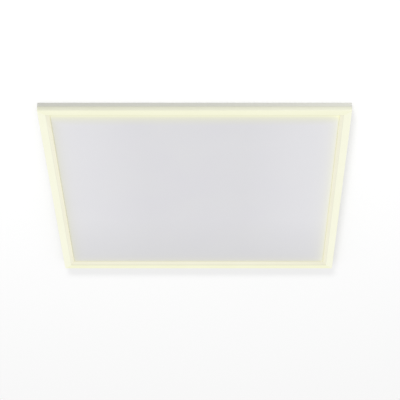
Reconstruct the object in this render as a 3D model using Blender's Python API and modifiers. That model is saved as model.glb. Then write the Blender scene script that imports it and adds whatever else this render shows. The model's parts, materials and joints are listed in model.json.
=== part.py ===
"""Square ceiling heating panel with a lit frame, for one module of a suspended ceiling.

The origin is the panel's centre on the ceiling's lower surface. +Z points up, into the ceiling void,
and -Y is the near side. The frame hangs below the ceiling, with the heating plate inside it, and the
tray, the electrical boxes and the spring clips stand above, inside the ceiling's opening.
"""

import math

import bmesh
import bpy
from mathutils import Matrix, Vector

# Driving dimensions, in metres

FIT = 0.0003  # gap between pieces that touch
ARC_STEPS = 3  # straight pieces in a small rounded corner

# Light frame, in section from its outer face inwards
PANEL_SIDE = 0.595
FRAME_DROP = 0.019
FACE_WIDTH = 0.015
SLOPE_RUN = 0.0065
SLOPE_RISE = 0.005
RAIL_SKIRT = 0.0085
RAIL_WALL = 0.0016
RAIL_EDGE = 0.0005
SNAP_RIB = 0.0008
SNAP_RIB_TOP = 0.0056
SNAP_RIB_HEIGHT = 0.0010
DIFFUSER_WALL = 0.0018
DIFFUSER_EDGE = 0.0012
SNAP_LEG = 0.0012
SNAP_HOOK_HEIGHT = 0.0010
INNER_LEG = 0.0045
KEY_LEG = 0.045
KEY_WIDTH = 0.012
KEY_THICKNESS = 0.0015
LED_BOARD_WIDTH = 0.010
LED_BOARD_THICKNESS = 0.0010
LED_PITCH = 0.025
LED_LENGTH = 0.0035
LED_WIDTH = 0.0028
LED_HEIGHT = 0.0008

# Heating stack
PLATE_SHEET = 0.0012
PLATE_RIM = 0.0085
PLATE_BEND = 0.0018
LAMINATE = 0.0015
LAMINATE_MARGIN = 0.003
MAT_MARGIN = 0.002
CUTOUT_X = 0.12
CUTOUT_Y = -0.12
CUTOUT_RADIUS = 0.008
CUTOUT_FLANGE = 0.011
CUTOUT_HEIGHT = 0.008
CUTOUT_FLANGE_HEIGHT = 0.0012
CUTOUT_CAP = 0.004
CUTOUT_CAP_HEIGHT = 0.0016
POCKET_MARGIN = 0.002

# Back tray
BEARING_WIDTH = 0.014
TRAY_FLANGE = 0.014
TRAY_SHEET = 0.0010
TRAY_TOP = 0.026
TRAY_BEND = 0.002
BEADS = 4
BEAD_WIDTH = 0.012
BEAD_HEIGHT = 0.002
BEAD_FROM_SIDES = 0.0495
BEAD_FROM_NEAR = 0.0545
BEAD_FROM_BOXES = 0.100
GROMMET_BORE = 0.0024
GROMMET_WALL = 0.0016
GROMMET_BRIM = 0.0020
GROMMET_LIFT = 0.0020

# Spring clips
CLIP_SPREAD = 0.16
PIN_RADIUS = 0.0015
PIN_PLAY = 0.0002
PIN_HEAD = 0.0025
PIN_HEAD_HEIGHT = 0.0010
PIN_HEAD_FLAT = 0.0018
PIN_TAIL = 0.0006
PIN_OUT = 0.0077
PIN_LEVEL = 0.018
BRACKET_SHEET = 0.0012
BRACKET_HALF = 0.0082
BRACKET_BEND = 0.0020
BRACKET_LOW = 0.004
EAR_RADIUS = 0.0042
EAR_BEYOND_STOP = 0.0009
STOP_SHEET = 0.0012
STOP_LENGTH = 0.003
ARM_WIDTH = 0.012
ARM_SHEET = 0.0010
ARM_FLAT = 0.0145
ARM_TIP = 0.0055
ARM_TIP_ANGLE = math.radians(35)
CHEEK_RADIUS = 0.0030
CHEEK_CORNER = 0.0027
PAD_LENGTH = 0.007
PAD_WIDTH = 0.010
PAD_THICKNESS = 0.0015
SPRING_WIRE = 0.0009
SPRING_TURNS = 5
SPRING_PITCH = 0.0014
SPRING_PLAY = 0.00035
SPRING_POINTS = 9
SPRING_LEG = 0.011
SPRING_BRACE_ANGLE = math.radians(230)
SPRING_ARM_ANGLE = math.radians(270)

# Junction box
BOXES_FROM_FAR = 0.1295
BOX_FROM_SIDE = 0.0495
BOX_LENGTH = 0.110
BOX_WIDTH = 0.066
BOX_HEIGHT = 0.028
BOX_SHEET = 0.0012
BOX_BEND = 0.0020
LID_LIP = 0.006
LID_PLAY = 0.0005
KNUCKLE_RADIUS = 0.0026
KNUCKLE_SUNK = 0.0005
LID_KNUCKLE = 0.040
BOX_KNUCKLE = 0.014
HINGE_PIN = 0.0013
TERMINAL_LENGTH = 0.028
TERMINAL_POLES = 3
TERMINAL_PITCH = 0.011
TERMINAL_HEIGHT = 0.015
TERMINAL_FROM_WALL = 0.012
TERMINAL_WELL = 0.0026
TERMINAL_WELL_DEPTH = 0.006
TERMINAL_ENTRY = 0.0030
TERMINAL_EDGE = 0.0006
TERMINAL_BARRIER = 0.0012
TERMINAL_BARRIER_HEIGHT = 0.0025
EARTH_HEX = 0.0045
EARTH_STEM = 0.0020
EARTH_HEIGHT = 0.008
EARTH_FROM_WALL = 0.008
GLAND_BORE = 0.0050
GLAND_THREAD = 0.0072
GLAND_HEX = 0.0095
GLAND_COLLAR_LENGTH = 0.006
GLAND_GAP = 0.001
GLAND_CAP_LENGTH = 0.006
GLAND_DOME = 0.0080
GLAND_DOME_LENGTH = 0.006
GLAND_LIP = 0.0062
GLAND_LIFT = 0.0008
GLAND_NUT_LENGTH = 0.004
GLAND_TAIL = 0.002

# Radio receiver
RECEIVER_LENGTH = 0.080
RECEIVER_WIDTH = 0.044
RECEIVER_HEIGHT = 0.023
RECEIVER_WALL = 0.0018
RECEIVER_EDGE = 0.0030
BASE_THICKNESS = 0.0025
EAR_LENGTH = 0.010
EAR_SLOT = 0.0018
BOARD_THICKNESS = 0.0016
BOARD_LIFT = 0.0035
BOARD_MARGIN = 0.003
RELAY_SIZE = (0.019, 0.015, 0.0125)
SWITCH_SIDE = 0.006
BUTTON_FROM_END = 0.018
BUTTON_RADIUS = 0.0030
BUTTON_BRIM = 0.0042
BUTTON_BRIM_HEIGHT = 0.0010
BUTTON_STAND = 0.0015
BUTTON_TRAVEL = 0.0010

# LED driver
DRIVER_FROM_SIDE = 0.0545
DRIVER_LENGTH = 0.150
DRIVER_WIDTH = 0.044
DRIVER_HEIGHT = 0.025
DRIVER_SHOULDER = 0.005
VENT_SLOTS = 6
VENT_PITCH = 0.006
VENT_WIDTH = 0.0025
VENT_DEPTH = 0.0020
VENT_SPAN = 0.026
VENT_FROM_END = 0.012

# Leads
LEAD_RADIUS = 0.0020
LEAD_LEVEL = 0.010
LEAD_STEPS = 4
LEAD_PLAY = 0.0006
LEAD_ENTRY = 0.003
LEAD_STRAIGHT = 0.007
LEAD_BEND_RUN = 0.0067
LEAD_BEND_DROP = 0.0010
LEAD_TURN_RUN = 0.0013
LEAD_TURN_DROP = 0.0046
GROMMET_REACH = 0.028

# Worked out from the driving dimensions

HALF = PANEL_SIDE / 2
LIT_WIDTH = FACE_WIDTH + SLOPE_RUN
FACE_Z = -FRAME_DROP
SLOPE_TOP = FACE_Z + SLOPE_RISE
PLATE_HALF = HALF - LIT_WIDTH - FIT
PLATE_Z = SLOPE_TOP + FIT
STACK_Z = PLATE_Z + PLATE_SHEET + FIT
RAIL_INNER = LIT_WIDTH + 2 * FIT + PLATE_SHEET
RAIL_WIDTH = RAIL_INNER + RAIL_WALL
REBATE = TRAY_SHEET + 2 * FIT
WEB_LOW = -REBATE - RAIL_WALL
CHANNEL_TOP = WEB_LOW - FIT
CHANNEL_MIDDLE = (RAIL_WALL + LIT_WIDTH) / 2
TRAY_HALF = HALF - BEARING_WIDTH - TRAY_FLANGE
BOXES_Y = TRAY_HALF - BOXES_FROM_FAR
BOX_X = -TRAY_HALF + BOX_FROM_SIDE + BOX_LENGTH / 2
DRIVER_X = TRAY_HALF - DRIVER_FROM_SIDE - DRIVER_LENGTH / 2
RECEIVER_X = (BOX_X + BOX_LENGTH / 2 + DRIVER_X - DRIVER_LENGTH / 2) / 2
LAMINATE_TOP = STACK_Z + LAMINATE
TOP = TRAY_TOP + FIT
BOX_TOP = TOP + BOX_HEIGHT
GLAND_Z = TOP + BOX_SHEET + GLAND_LIFT + GLAND_HEX
LEAD_Z = TOP + LEAD_LEVEL
COIL_RADIUS = PIN_RADIUS + SPRING_PLAY + SPRING_WIRE / 2
STRIP_TOP = -(COIL_RADIUS + SPRING_WIRE / 2 + FIT)
STRIP_LOW = STRIP_TOP - ARM_SHEET
STOP_LOW = STRIP_LOW - FIT - STOP_SHEET

# Outlines drawn in XY can be stood up along the frame's length or across a clip
ALONG_X = Matrix(((0, 0, 1, 0), (1, 0, 0, 0), (0, 1, 0, 0), (0, 0, 0, 1)))
ACROSS_Y = Matrix.Rotation(math.pi / 2, 4, "X")


def clear_scene():
    for thing in list(bpy.data.objects):
        bpy.data.objects.remove(thing)


def new_collection(name):
    collection = bpy.data.collections.new(name)
    bpy.context.scene.collection.children.link(collection)
    return collection


clear_scene()
PARTS = new_collection("ceiling_panel")
CUTTERS = new_collection("cutters")


def material(name, colour, roughness, metallic=0.0):
    made = bpy.data.materials.new(name)
    made.use_nodes = True
    shader = made.node_tree.nodes["Principled BSDF"]
    shader.inputs["Base Color"].default_value = (*colour, 1)
    shader.inputs["Roughness"].default_value = roughness
    shader.inputs["Metallic"].default_value = metallic
    return made


WHITE_COAT = material("white_coat", (0.86, 0.86, 0.84), 0.45)
PLATE_COAT = material("plate_coat", (0.72, 0.72, 0.74), 0.5)
OPAL = material("opal", (0.93, 0.93, 0.75), 0.4)
GALVANISED = material("galvanised", (0.55, 0.56, 0.57), 0.4, 1.0)
SPRING_STEEL = material("spring_steel", (0.45, 0.45, 0.46), 0.3, 1.0)
BRASS = material("brass", (0.75, 0.58, 0.28), 0.35, 1.0)
WHITE_PLASTIC = material("white_plastic", (0.82, 0.82, 0.80), 0.45)
GREY_PLASTIC = material("grey_plastic", (0.32, 0.33, 0.34), 0.5)
DARK_PLASTIC = material("dark_plastic", (0.05, 0.05, 0.055), 0.5)
BOARD_WHITE = material("board_white", (0.85, 0.85, 0.82), 0.4)
BOARD_GREEN = material("board_green", (0.05, 0.22, 0.12), 0.4)
LAMINATE_BROWN = material("laminate_brown", (0.12, 0.09, 0.07), 0.6)
MINERAL_WOOL = material("mineral_wool", (0.62, 0.56, 0.42), 0.95)
RUBBER = material("rubber", (0.03, 0.03, 0.03), 0.8)
LEAD_SHEATH = material("lead_sheath", (0.72, 0.72, 0.70), 0.6)


def link(name, data, coat=None):
    """A new object among the parts, or among the cutters if it has no material."""
    thing = bpy.data.objects.new(name, data)
    if coat:
        PARTS.objects.link(thing)
        thing.data.materials.clear()
        thing.data.materials.append(coat)
    else:
        CUTTERS.objects.link(thing)
        thing.hide_render = True
        thing.display_type = "WIRE"
    return thing


def evaluated_mesh(thing):
    bpy.context.view_layer.update()
    graph = bpy.context.evaluated_depsgraph_get()
    return bpy.data.meshes.new_from_object(thing.evaluated_get(graph))


def smooth(mesh):
    mesh.shade_smooth()
    mesh.set_sharp_from_angle(angle=math.radians(35))
    return mesh


def boxes(name, spans):
    """One mesh of boxes, each given by its low and high corner."""
    shape = bmesh.new()
    for low, high in spans:
        size = Vector(high) - Vector(low)
        middle = (Vector(high) + Vector(low)) / 2
        place = Matrix.Translation(middle) @ Matrix.Diagonal((*size, 1))
        bmesh.ops.create_cube(shape, size=1, matrix=place)
    mesh = bpy.data.meshes.new(name)
    shape.to_mesh(mesh)
    shape.free()
    return mesh


def rods(name, ends, radius, sides=12):
    """One mesh of round rods, each given by its two end points."""
    shape = bmesh.new()
    for start, end in ends:
        run = Vector(end) - Vector(start)
        turn = run.to_track_quat("Z", "Y").to_matrix().to_4x4()
        place = Matrix.Translation((Vector(start) + Vector(end)) / 2) @ turn
        bmesh.ops.create_cone(
            shape, cap_ends=True, segments=sides,
            radius1=radius, radius2=radius, depth=run.length, matrix=place,
        )
    mesh = bpy.data.meshes.new(name)
    shape.to_mesh(mesh)
    shape.free()
    return mesh


def rounded(corners, steps=ARC_STEPS):
    """Outline through the corners, each (x, y), or (x, y, radius) where an arc rounds it."""
    points = []
    for i, corner in enumerate(corners):
        here = Vector(corner[:2])
        if len(corner) == 2:
            points.append(here)
            continue
        back = (Vector(corners[i - 1][:2]) - here).normalized()
        ahead = (Vector(corners[(i + 1) % len(corners)][:2]) - here).normalized()
        half = back.angle(ahead) / 2
        reach = corner[2] / math.tan(half)
        middle = here + (back + ahead).normalized() * corner[2] / math.sin(half)
        first = here + back * reach - middle
        last = here + ahead * reach - middle
        start = math.atan2(first.y, first.x)
        turn = (math.atan2(last.y, last.x) - start + math.pi) % math.tau - math.pi
        for k in range(steps + 1):
            angle = start + turn * k / steps
            points.append(middle + corner[2] * Vector((math.cos(angle), math.sin(angle))))
    return points


def circle(x, y, radius, sides=12):
    return [
        (x + radius * math.cos(math.tau * k / sides), y + radius * math.sin(math.tau * k / sides))
        for k in range(sides)
    ]


def extruded(name, loops, thickness, place=Matrix()):
    """Mesh of a flat outline, with any further loops as holes, as thick along Z as said, then placed."""
    curve = bpy.data.curves.new(name, "CURVE")
    curve.dimensions = "2D"
    curve.fill_mode = "BOTH"
    curve.extrude = thickness / 2
    for loop in loops:
        spline = curve.splines.new("POLY")
        spline.points.add(len(loop) - 1)
        for point, (x, y) in zip(spline.points, loop):
            point.co = (x, y, 0, 1)
        spline.use_cyclic_u = True
    guide = link(name + "_outline", curve)
    mesh = evaluated_mesh(guide)
    bpy.data.objects.remove(guide)
    shape = bmesh.new()
    shape.from_mesh(mesh)
    bmesh.ops.remove_doubles(shape, verts=shape.verts, dist=1e-6)
    bmesh.ops.recalc_face_normals(shape, faces=shape.faces)
    shape.transform(place)
    shape.to_mesh(mesh)
    shape.free()
    return mesh


def turned(name, profile, steps, place=Matrix(), ring=False):
    """Mesh turned about Z from (radius, height) points down its outer side; a ring's profile closes."""
    mesh = bpy.data.meshes.new(name)
    count = len(profile)
    edges = [(i, (i + 1) % count) for i in range(count if ring else count - 1)]
    mesh.from_pydata([(radius, 0, height) for radius, height in profile], edges, [])
    guide = link(name + "_profile", mesh)
    screw = guide.modifiers.new("Turn", "SCREW")
    screw.steps = steps
    screw.render_steps = steps
    screw.use_merge_vertices = True
    screw.merge_threshold = 1e-5
    made = evaluated_mesh(guide)
    bpy.data.objects.remove(guide)
    made.transform(place)
    return smooth(made)


def pan(name, middle, half_x, half_y, low, high, open_top, flange=0.0, open_far=False):
    """Open surface of a folded sheet pan: its outside faces, with an outward flange round the opening."""
    shape = bmesh.new()
    size = Matrix.Diagonal((2 * half_x, 2 * half_y, high - low, 1))
    place = Matrix.Translation((*middle, (low + high) / 2)) @ size
    bmesh.ops.create_cube(shape, size=1, matrix=place)
    shape.normal_update()
    towards = 1 if open_top else -1
    gone = [face for face in shape.faces if face.normal.z * towards > 0.5]
    if open_far:
        gone += [face for face in shape.faces if face.normal.y > 0.5]
    bmesh.ops.delete(shape, geom=gone, context="FACES")
    if flange:
        rim = [edge for edge in shape.edges if edge.is_boundary]
        grown = bmesh.ops.extrude_edge_only(shape, edges=rim)["geom"]
        for vertex in (item for item in grown if isinstance(item, bmesh.types.BMVert)):
            vertex.co.x += math.copysign(flange, vertex.co.x - middle[0])
            vertex.co.y += math.copysign(flange, vertex.co.y - middle[1])
        bmesh.ops.recalc_face_normals(shape, faces=shape.faces)
    roof = max(shape.faces, key=lambda face: face.calc_area())
    if roof.normal.z * towards > 0:
        bmesh.ops.reverse_faces(shape, faces=shape.faces)
    mesh = bpy.data.meshes.new(name)
    shape.to_mesh(mesh)
    shape.free()
    return mesh


def fold(thing, bend, sheet):
    """Rounds the folds of an open sheet surface, then gives it its thickness inwards."""
    bevel = thing.modifiers.new("Bends", "BEVEL")
    bevel.width = bend
    bevel.segments = 2
    bevel.limit_method = "ANGLE"
    solid = thing.modifiers.new("Sheet", "SOLIDIFY")
    solid.thickness = sheet
    solid.offset = -1
    solid.use_even_offset = True
    return thing


def soften(thing, width, segments=2):
    bevel = thing.modifiers.new("Soft edges", "BEVEL")
    bevel.width = width
    bevel.segments = segments
    bevel.limit_method = "ANGLE"
    return thing


def boolean(thing, mesh, operation):
    """Cuts or joins with a mesh, which stays among the cutters as an object."""
    modifier = thing.modifiers.new(mesh.name, "BOOLEAN")
    modifier.operation = operation
    modifier.object = link(thing.name + "_" + mesh.name, mesh)
    return modifier.object


def mitred(name, outline):
    """Bar along the near side from its section (inward, up), its ends cut back to 45 degree mitres."""
    mesh = extruded(name, [outline], PANEL_SIDE)
    for vertex in mesh.vertices:
        reach = HALF - vertex.co.x - FIT / math.sqrt(2)
        vertex.co.z = math.copysign(reach, vertex.co.z)
    mesh.transform(Matrix.Translation((0, -HALF, 0)) @ ALONG_X)
    return mesh


def four_sides(name, mesh, coat):
    for turn, side in enumerate(("near", "right", "far", "left")):
        bar = link(name + "_" + side, mesh, coat)
        bar.rotation_euler.z = turn * math.pi / 2


def frame_rails():
    """Channels, open downwards: short outer skirt with a snap rib, inner wall beside the plate, and a top
    web whose outer strip bears on the ceiling and whose inner strip is sunk for the tray's flange."""
    rib_low = -SNAP_RIB_TOP - SNAP_RIB_HEIGHT
    section = rounded([
        (0, 0, RAIL_EDGE),
        (0, -RAIL_SKIRT),
        (RAIL_WALL, -RAIL_SKIRT),
        (RAIL_WALL, rib_low - SNAP_RIB),
        (RAIL_WALL + SNAP_RIB, rib_low),
        (RAIL_WALL + SNAP_RIB, -SNAP_RIB_TOP),
        (RAIL_WALL, -SNAP_RIB_TOP),
        (RAIL_WALL, WEB_LOW),
        (RAIL_INNER, WEB_LOW),
        (RAIL_INNER, STACK_Z),
        (RAIL_WIDTH, STACK_Z),
        (RAIL_WIDTH, -REBATE),
        (BEARING_WIDTH - FIT, -REBATE),
        (BEARING_WIDTH - FIT, 0),
    ])
    four_sides("frame_rail", mitred("frame_rail", section), WHITE_COAT)


def diffusers():
    """Opal profiles: flush outer wall, lit face, inner slope, inner leg, and a hook over the snap rib."""
    slope = math.atan2(SLOPE_RISE, SLOPE_RUN)
    wall = DIFFUSER_WALL
    seam = -RAIL_SKIRT - FIT
    leg = RAIL_WALL + SNAP_RIB + FIT
    hook = RAIL_WALL + FIT
    hook_low = -SNAP_RIB_TOP + FIT
    corner = wall * math.tan((math.pi / 2 - slope) / 2)
    section = rounded([
        (0, seam),
        (0, FACE_Z, DIFFUSER_EDGE),
        (FACE_WIDTH, FACE_Z, DIFFUSER_EDGE / 2),
        (LIT_WIDTH, SLOPE_TOP),
        (LIT_WIDTH, SLOPE_TOP + INNER_LEG),
        (LIT_WIDTH - wall, SLOPE_TOP + INNER_LEG),
        (LIT_WIDTH - wall, SLOPE_TOP + corner),
        (FACE_WIDTH - wall * math.tan(slope / 2), FACE_Z + wall),
        (wall, FACE_Z + wall),
        (wall, seam - wall),
        (leg + SNAP_LEG, seam - wall),
        (leg + SNAP_LEG, hook_low + SNAP_HOOK_HEIGHT),
        (leg, hook_low + SNAP_HOOK_HEIGHT),
        (hook, hook_low + SNAP_HOOK_HEIGHT / 2),
        (hook, hook_low),
        (leg, hook_low),
        (leg, seam),
    ])
    four_sides("diffuser", mitred("diffuser", section), OPAL)


def corner_keys():
    """L-shaped plates under the rails' top webs, one across each mitre."""
    outer = HALF - CHANNEL_MIDDLE + KEY_WIDTH / 2
    inner = outer - KEY_WIDTH
    end = outer - KEY_LEG
    outline = rounded([
        (-outer, -outer, RAIL_WALL),
        (-end, -outer, RAIL_WALL),
        (-end, -inner, RAIL_WALL),
        (-inner, -inner),
        (-inner, -end, RAIL_WALL),
        (-outer, -end, RAIL_WALL),
    ])
    level = Matrix.Translation((0, 0, CHANNEL_TOP - KEY_THICKNESS / 2))
    mesh = extruded("corner_key", [outline], KEY_THICKNESS, level)
    for turn, corner in enumerate(("near_left", "near_right", "far_right", "far_left")):
        key = link("corner_key_" + corner, mesh, GALVANISED)
        key.rotation_euler.z = turn * math.pi / 2


def led_boards():
    """Strips of LEDs that face down from the rails' top webs, between the corner keys."""
    half_length = HALF - CHANNEL_MIDDLE + KEY_WIDTH / 2 - KEY_LEG - KEY_WIDTH / 4
    middle = -HALF + CHANNEL_MIDDLE
    low = CHANNEL_TOP - LED_BOARD_THICKNESS
    board = boxes("board", [(
        (-half_length, middle - LED_BOARD_WIDTH / 2, low),
        (half_length, middle + LED_BOARD_WIDTH / 2, CHANNEL_TOP),
    )])
    count = int(2 * half_length / LED_PITCH)
    first = -(count - 1) * LED_PITCH / 2
    packages = []
    for k in range(count):
        x = first + k * LED_PITCH
        packages.append((
            (x - LED_LENGTH / 2, middle - LED_WIDTH / 2, low - LED_HEIGHT),
            (x + LED_LENGTH / 2, middle + LED_WIDTH / 2, low + LED_BOARD_THICKNESS / 2),
        ))
    pattern = link("led_board_pattern", board)
    boolean(pattern, boxes("packages", packages), "UNION")
    four_sides("led_board", evaluated_mesh(pattern), BOARD_WHITE)


def radiant_plate():
    """Coated sheet with its rim folded up between the diffusers' inner legs and the rails."""
    mesh = pan("radiant_plate", (0, 0), PLATE_HALF, PLATE_HALF, PLATE_Z, PLATE_Z + PLATE_RIM, open_top=True)
    fold(link("radiant_plate", mesh, PLATE_COAT), PLATE_BEND, PLATE_SHEET)


def heating_stack():
    """Heating laminate on the plate, the thermal cut-out on the laminate, and the mat over both."""
    half = HALF - RAIL_WIDTH - LAMINATE_MARGIN
    link("heating_laminate", boxes("heating_laminate", [
        ((-half, -half, STACK_Z), (half, half, LAMINATE_TOP)),
    ]), LAMINATE_BROWN)

    place = Matrix.Translation((CUTOUT_X, CUTOUT_Y, LAMINATE_TOP + FIT))
    profile = [
        (0, CUTOUT_HEIGHT),
        (CUTOUT_CAP, CUTOUT_HEIGHT),
        (CUTOUT_CAP, CUTOUT_HEIGHT - CUTOUT_CAP_HEIGHT),
        (CUTOUT_RADIUS, CUTOUT_HEIGHT - CUTOUT_CAP_HEIGHT),
        (CUTOUT_RADIUS, CUTOUT_FLANGE_HEIGHT),
        (CUTOUT_FLANGE, CUTOUT_FLANGE_HEIGHT),
        (CUTOUT_FLANGE, 0),
        (0, 0),
    ]
    link("thermal_cutout", turned("thermal_cutout", profile, 16, place), DARK_PLASTIC)

    half = TRAY_HALF - TRAY_SHEET - MAT_MARGIN
    low = LAMINATE_TOP + FIT
    high = TRAY_TOP - TRAY_SHEET - FIT
    mat = link("insulation_mat", boxes("insulation_mat", [
        ((-half, -half, low), (half, half, high)),
    ]), MINERAL_WOOL)
    ends = [((CUTOUT_X, CUTOUT_Y, low - TRAY_SHEET), (CUTOUT_X, CUTOUT_Y, high + TRAY_SHEET))]
    boolean(mat, rods("pocket", ends, CUTOUT_FLANGE + POCKET_MARGIN), "DIFFERENCE")


def grommet_places():
    """Where the heater lead and the LED lead go down through the tray."""
    heater = (RECEIVER_X, BOXES_Y - RECEIVER_WIDTH / 2 - GROMMET_REACH)
    led = (DRIVER_X + DRIVER_LENGTH / 2 + GROMMET_REACH, BOXES_Y)
    return {"heater": heater, "led": led}


def back_tray():
    """Folded steel pan over the mat, with pressed beads and a flange that lies in the rails' sunk strips."""
    mesh = pan("back_tray", (0, 0), TRAY_HALF, TRAY_HALF, -FIT, TRAY_TOP, open_top=False, flange=TRAY_FLANGE)
    tray = fold(link("back_tray", mesh, GALVANISED), TRAY_BEND, TRAY_SHEET)
    half_run = TRAY_HALF - BEAD_FROM_SIDES - BEAD_WIDTH / 2
    stadium = []
    for k in range(8):
        angle = math.pi * (k / 7 - 0.5)
        stadium.append((half_run + BEAD_WIDTH / 2 * math.cos(angle), BEAD_WIDTH / 2 * math.sin(angle)))
    stadium += [(-x, -y) for x, y in stadium]
    rise = BEAD_HEIGHT + TRAY_SHEET / 2
    first = -TRAY_HALF + BEAD_FROM_NEAR
    pitch = (BOXES_Y - BEAD_FROM_BOXES - first) / (BEADS - 1)
    for k in range(BEADS):
        place = Matrix.Translation((0, first + k * pitch, TRAY_TOP - TRAY_SHEET / 2 + rise / 2))
        bead = boolean(tray, extruded("bead_" + str(k + 1), [stadium], rise, place), "UNION")
        soften(bead, BEAD_HEIGHT / 2, 1)
    hole = GROMMET_BORE + GROMMET_WALL + FIT
    ends = [((x, y, 0), (x, y, TRAY_TOP + BEAD_HEIGHT)) for x, y in grommet_places().values()]
    boolean(tray, rods("lead_holes", ends, hole, 16), "DIFFERENCE")


def grommets():
    """Brimmed rubber rings in the tray's two lead holes."""
    barrel = GROMMET_BORE + GROMMET_WALL
    profile = [
        (GROMMET_BORE, GROMMET_LIFT + FIT),
        (barrel + GROMMET_BRIM / 2, GROMMET_LIFT + FIT),
        (barrel + GROMMET_BRIM, GROMMET_LIFT / 2 + FIT),
        (barrel + GROMMET_BRIM, FIT),
        (barrel, FIT),
        (barrel, -TRAY_SHEET),
        (GROMMET_BORE, -TRAY_SHEET),
    ]
    for name, (x, y) in grommet_places().items():
        place = Matrix.Translation((x, y, TRAY_TOP))
        link(name + "_grommet", turned(name + "_grommet", profile, 16, place, ring=True), RUBBER)


def clip_bracket():
    """Folded channel cut to two ears that carry the pin, with a tongue that stops the arm."""
    reach = PIN_OUT + EAR_RADIUS
    sheet = BRACKET_SHEET
    half = BRACKET_HALF
    inside = BRACKET_BEND - sheet
    channel = rounded([
        (reach, -half),
        (0, -half, BRACKET_BEND),
        (0, half, BRACKET_BEND),
        (reach, half),
        (reach, half - sheet),
        (sheet, half - sheet, inside),
        (sheet, -half + sheet, inside),
        (reach, -half + sheet),
    ])
    high = PIN_LEVEL + EAR_RADIUS
    height = high - BRACKET_LOW
    level = Matrix.Translation((0, 0, BRACKET_LOW + height / 2))
    pattern = link("clip_bracket_pattern", extruded("clip_bracket", [channel], height, level))
    foot = BRACKET_BEND + sheet
    ears = rounded([
        (-sheet, BRACKET_LOW - sheet),
        (foot, BRACKET_LOW - sheet),
        (reach + FIT, PIN_LEVEL + STOP_LOW - EAR_BEYOND_STOP, EAR_BEYOND_STOP),
        (reach + FIT, high + FIT, EAR_RADIUS),
        (-sheet, high + FIT),
    ], 5)
    boolean(pattern, extruded("ears", [ears], 4 * half, ACROSS_Y), "INTERSECT")
    stop = boxes("stop", [(
        (PIN_OUT, -half + sheet / 2, PIN_LEVEL + STOP_LOW),
        (PIN_OUT + STOP_LENGTH, half - sheet / 2, PIN_LEVEL + STOP_LOW + STOP_SHEET),
    )])
    boolean(pattern, stop, "UNION")
    ends = [((PIN_OUT, -2 * half, PIN_LEVEL), (PIN_OUT, 2 * half, PIN_LEVEL))]
    boolean(pattern, rods("pin_holes", ends, PIN_RADIUS + PIN_PLAY, 16), "DIFFERENCE")
    mesh = evaluated_mesh(pattern)
    mesh.transform(Matrix.Translation((-PIN_OUT, 0, -PIN_LEVEL)))
    return mesh


def clip_arm():
    """Strip under the pin with a turned-up tip, and two cheeks that run on the pin; zero is the pin."""
    lean = Vector((math.cos(ARM_TIP_ANGLE), math.sin(ARM_TIP_ANGLE)))
    shift = ARM_SHEET * math.tan(ARM_TIP_ANGLE / 2)
    tip_low = Vector((ARM_FLAT + shift, STRIP_LOW)) + lean * ARM_TIP
    tip_high = tip_low + Vector((-lean.y, lean.x)) * ARM_SHEET
    strip = rounded([
        (0, STRIP_TOP),
        (0, STRIP_LOW),
        (ARM_FLAT + shift, STRIP_LOW),
        (*tip_low, ARM_SHEET / 3),
        (*tip_high, ARM_SHEET / 3),
        (ARM_FLAT, STRIP_TOP),
    ])
    # The cheeks stand out past the strip a little, so that their faces don't lie in its ends.
    strip_width = ARM_WIDTH - ARM_SHEET / 2
    pattern = link("clip_arm_pattern", extruded("clip_arm", [strip], strip_width, ACROSS_Y))
    root = STRIP_TOP - ARM_SHEET / 2
    cheek = rounded([
        (-CHEEK_RADIUS, CHEEK_RADIUS, CHEEK_CORNER),
        (CHEEK_RADIUS, CHEEK_RADIUS, CHEEK_CORNER),
        (2 * CHEEK_RADIUS, root),
        (ARM_SHEET / 4, root),
        (-CHEEK_RADIUS, -CHEEK_RADIUS / 3, CHEEK_RADIUS / 2),
    ], 4)
    for side in (-1, 1):
        place = Matrix.Translation((0, side * (ARM_WIDTH - ARM_SHEET) / 2, 0)) @ ACROSS_Y
        name = "cheek_" + ("left" if side < 0 else "right")
        hole = circle(0, 0, PIN_RADIUS + PIN_PLAY, 16)
        boolean(pattern, extruded(name, [cheek, hole], ARM_SHEET, place), "UNION")
    return evaluated_mesh(pattern)


def clip_pin():
    """Headed pivot pin through the ears; zero is the middle of its length."""
    head = BRACKET_HALF + FIT
    profile = [
        (0, head + PIN_TAIL),
        (PIN_RADIUS, head + PIN_TAIL),
        (PIN_RADIUS, -head),
        (PIN_HEAD, -head),
        (PIN_HEAD, -head - PIN_HEAD_HEIGHT / 2),
        (PIN_HEAD_FLAT, -head - PIN_HEAD_HEIGHT),
        (0, -head - PIN_HEAD_HEIGHT),
    ]
    return turned("clip_pin", profile, 16, ACROSS_Y)


def clip_pad():
    """Soft pad under the flat of the arm, where it presses on the ceiling."""
    high = STRIP_LOW - FIT
    half = PAD_WIDTH / 2
    pad = link("clip_pad_pattern", boxes("clip_pad", [
        ((ARM_FLAT - PAD_LENGTH, -half, high - PAD_THICKNESS), (ARM_FLAT, half, high)),
    ]))
    soften(pad, PAD_THICKNESS / 3, 2)
    return evaluated_mesh(pad)


def spring_points():
    """Torsion spring on the pin: a leg to the bracket's back, the curls, and a leg along the arm's strip."""
    start = SPRING_BRACE_ANGLE
    whole = SPRING_TURNS + (SPRING_ARM_ANGLE - start) / math.tau
    count = round(whole * SPRING_POINTS)
    half_width = whole * SPRING_PITCH / 2
    curls = []
    for k in range(count + 1):
        angle = start + math.tau * whole * k / count
        y = -half_width + 2 * half_width * k / count
        curls.append(Vector((COIL_RADIUS * math.cos(angle), y, COIL_RADIUS * math.sin(angle))))
    back = Vector((math.sin(start), 0, -math.cos(start)))
    limit = PIN_OUT - BRACKET_SHEET - FIT - SPRING_WIRE / 2
    length = (limit + curls[0].x) / -back.x
    brace = curls[0] + back * length
    hook = curls[-1] + Vector((SPRING_LEG, 0, 0))
    return [brace, *curls, hook], curls


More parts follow.
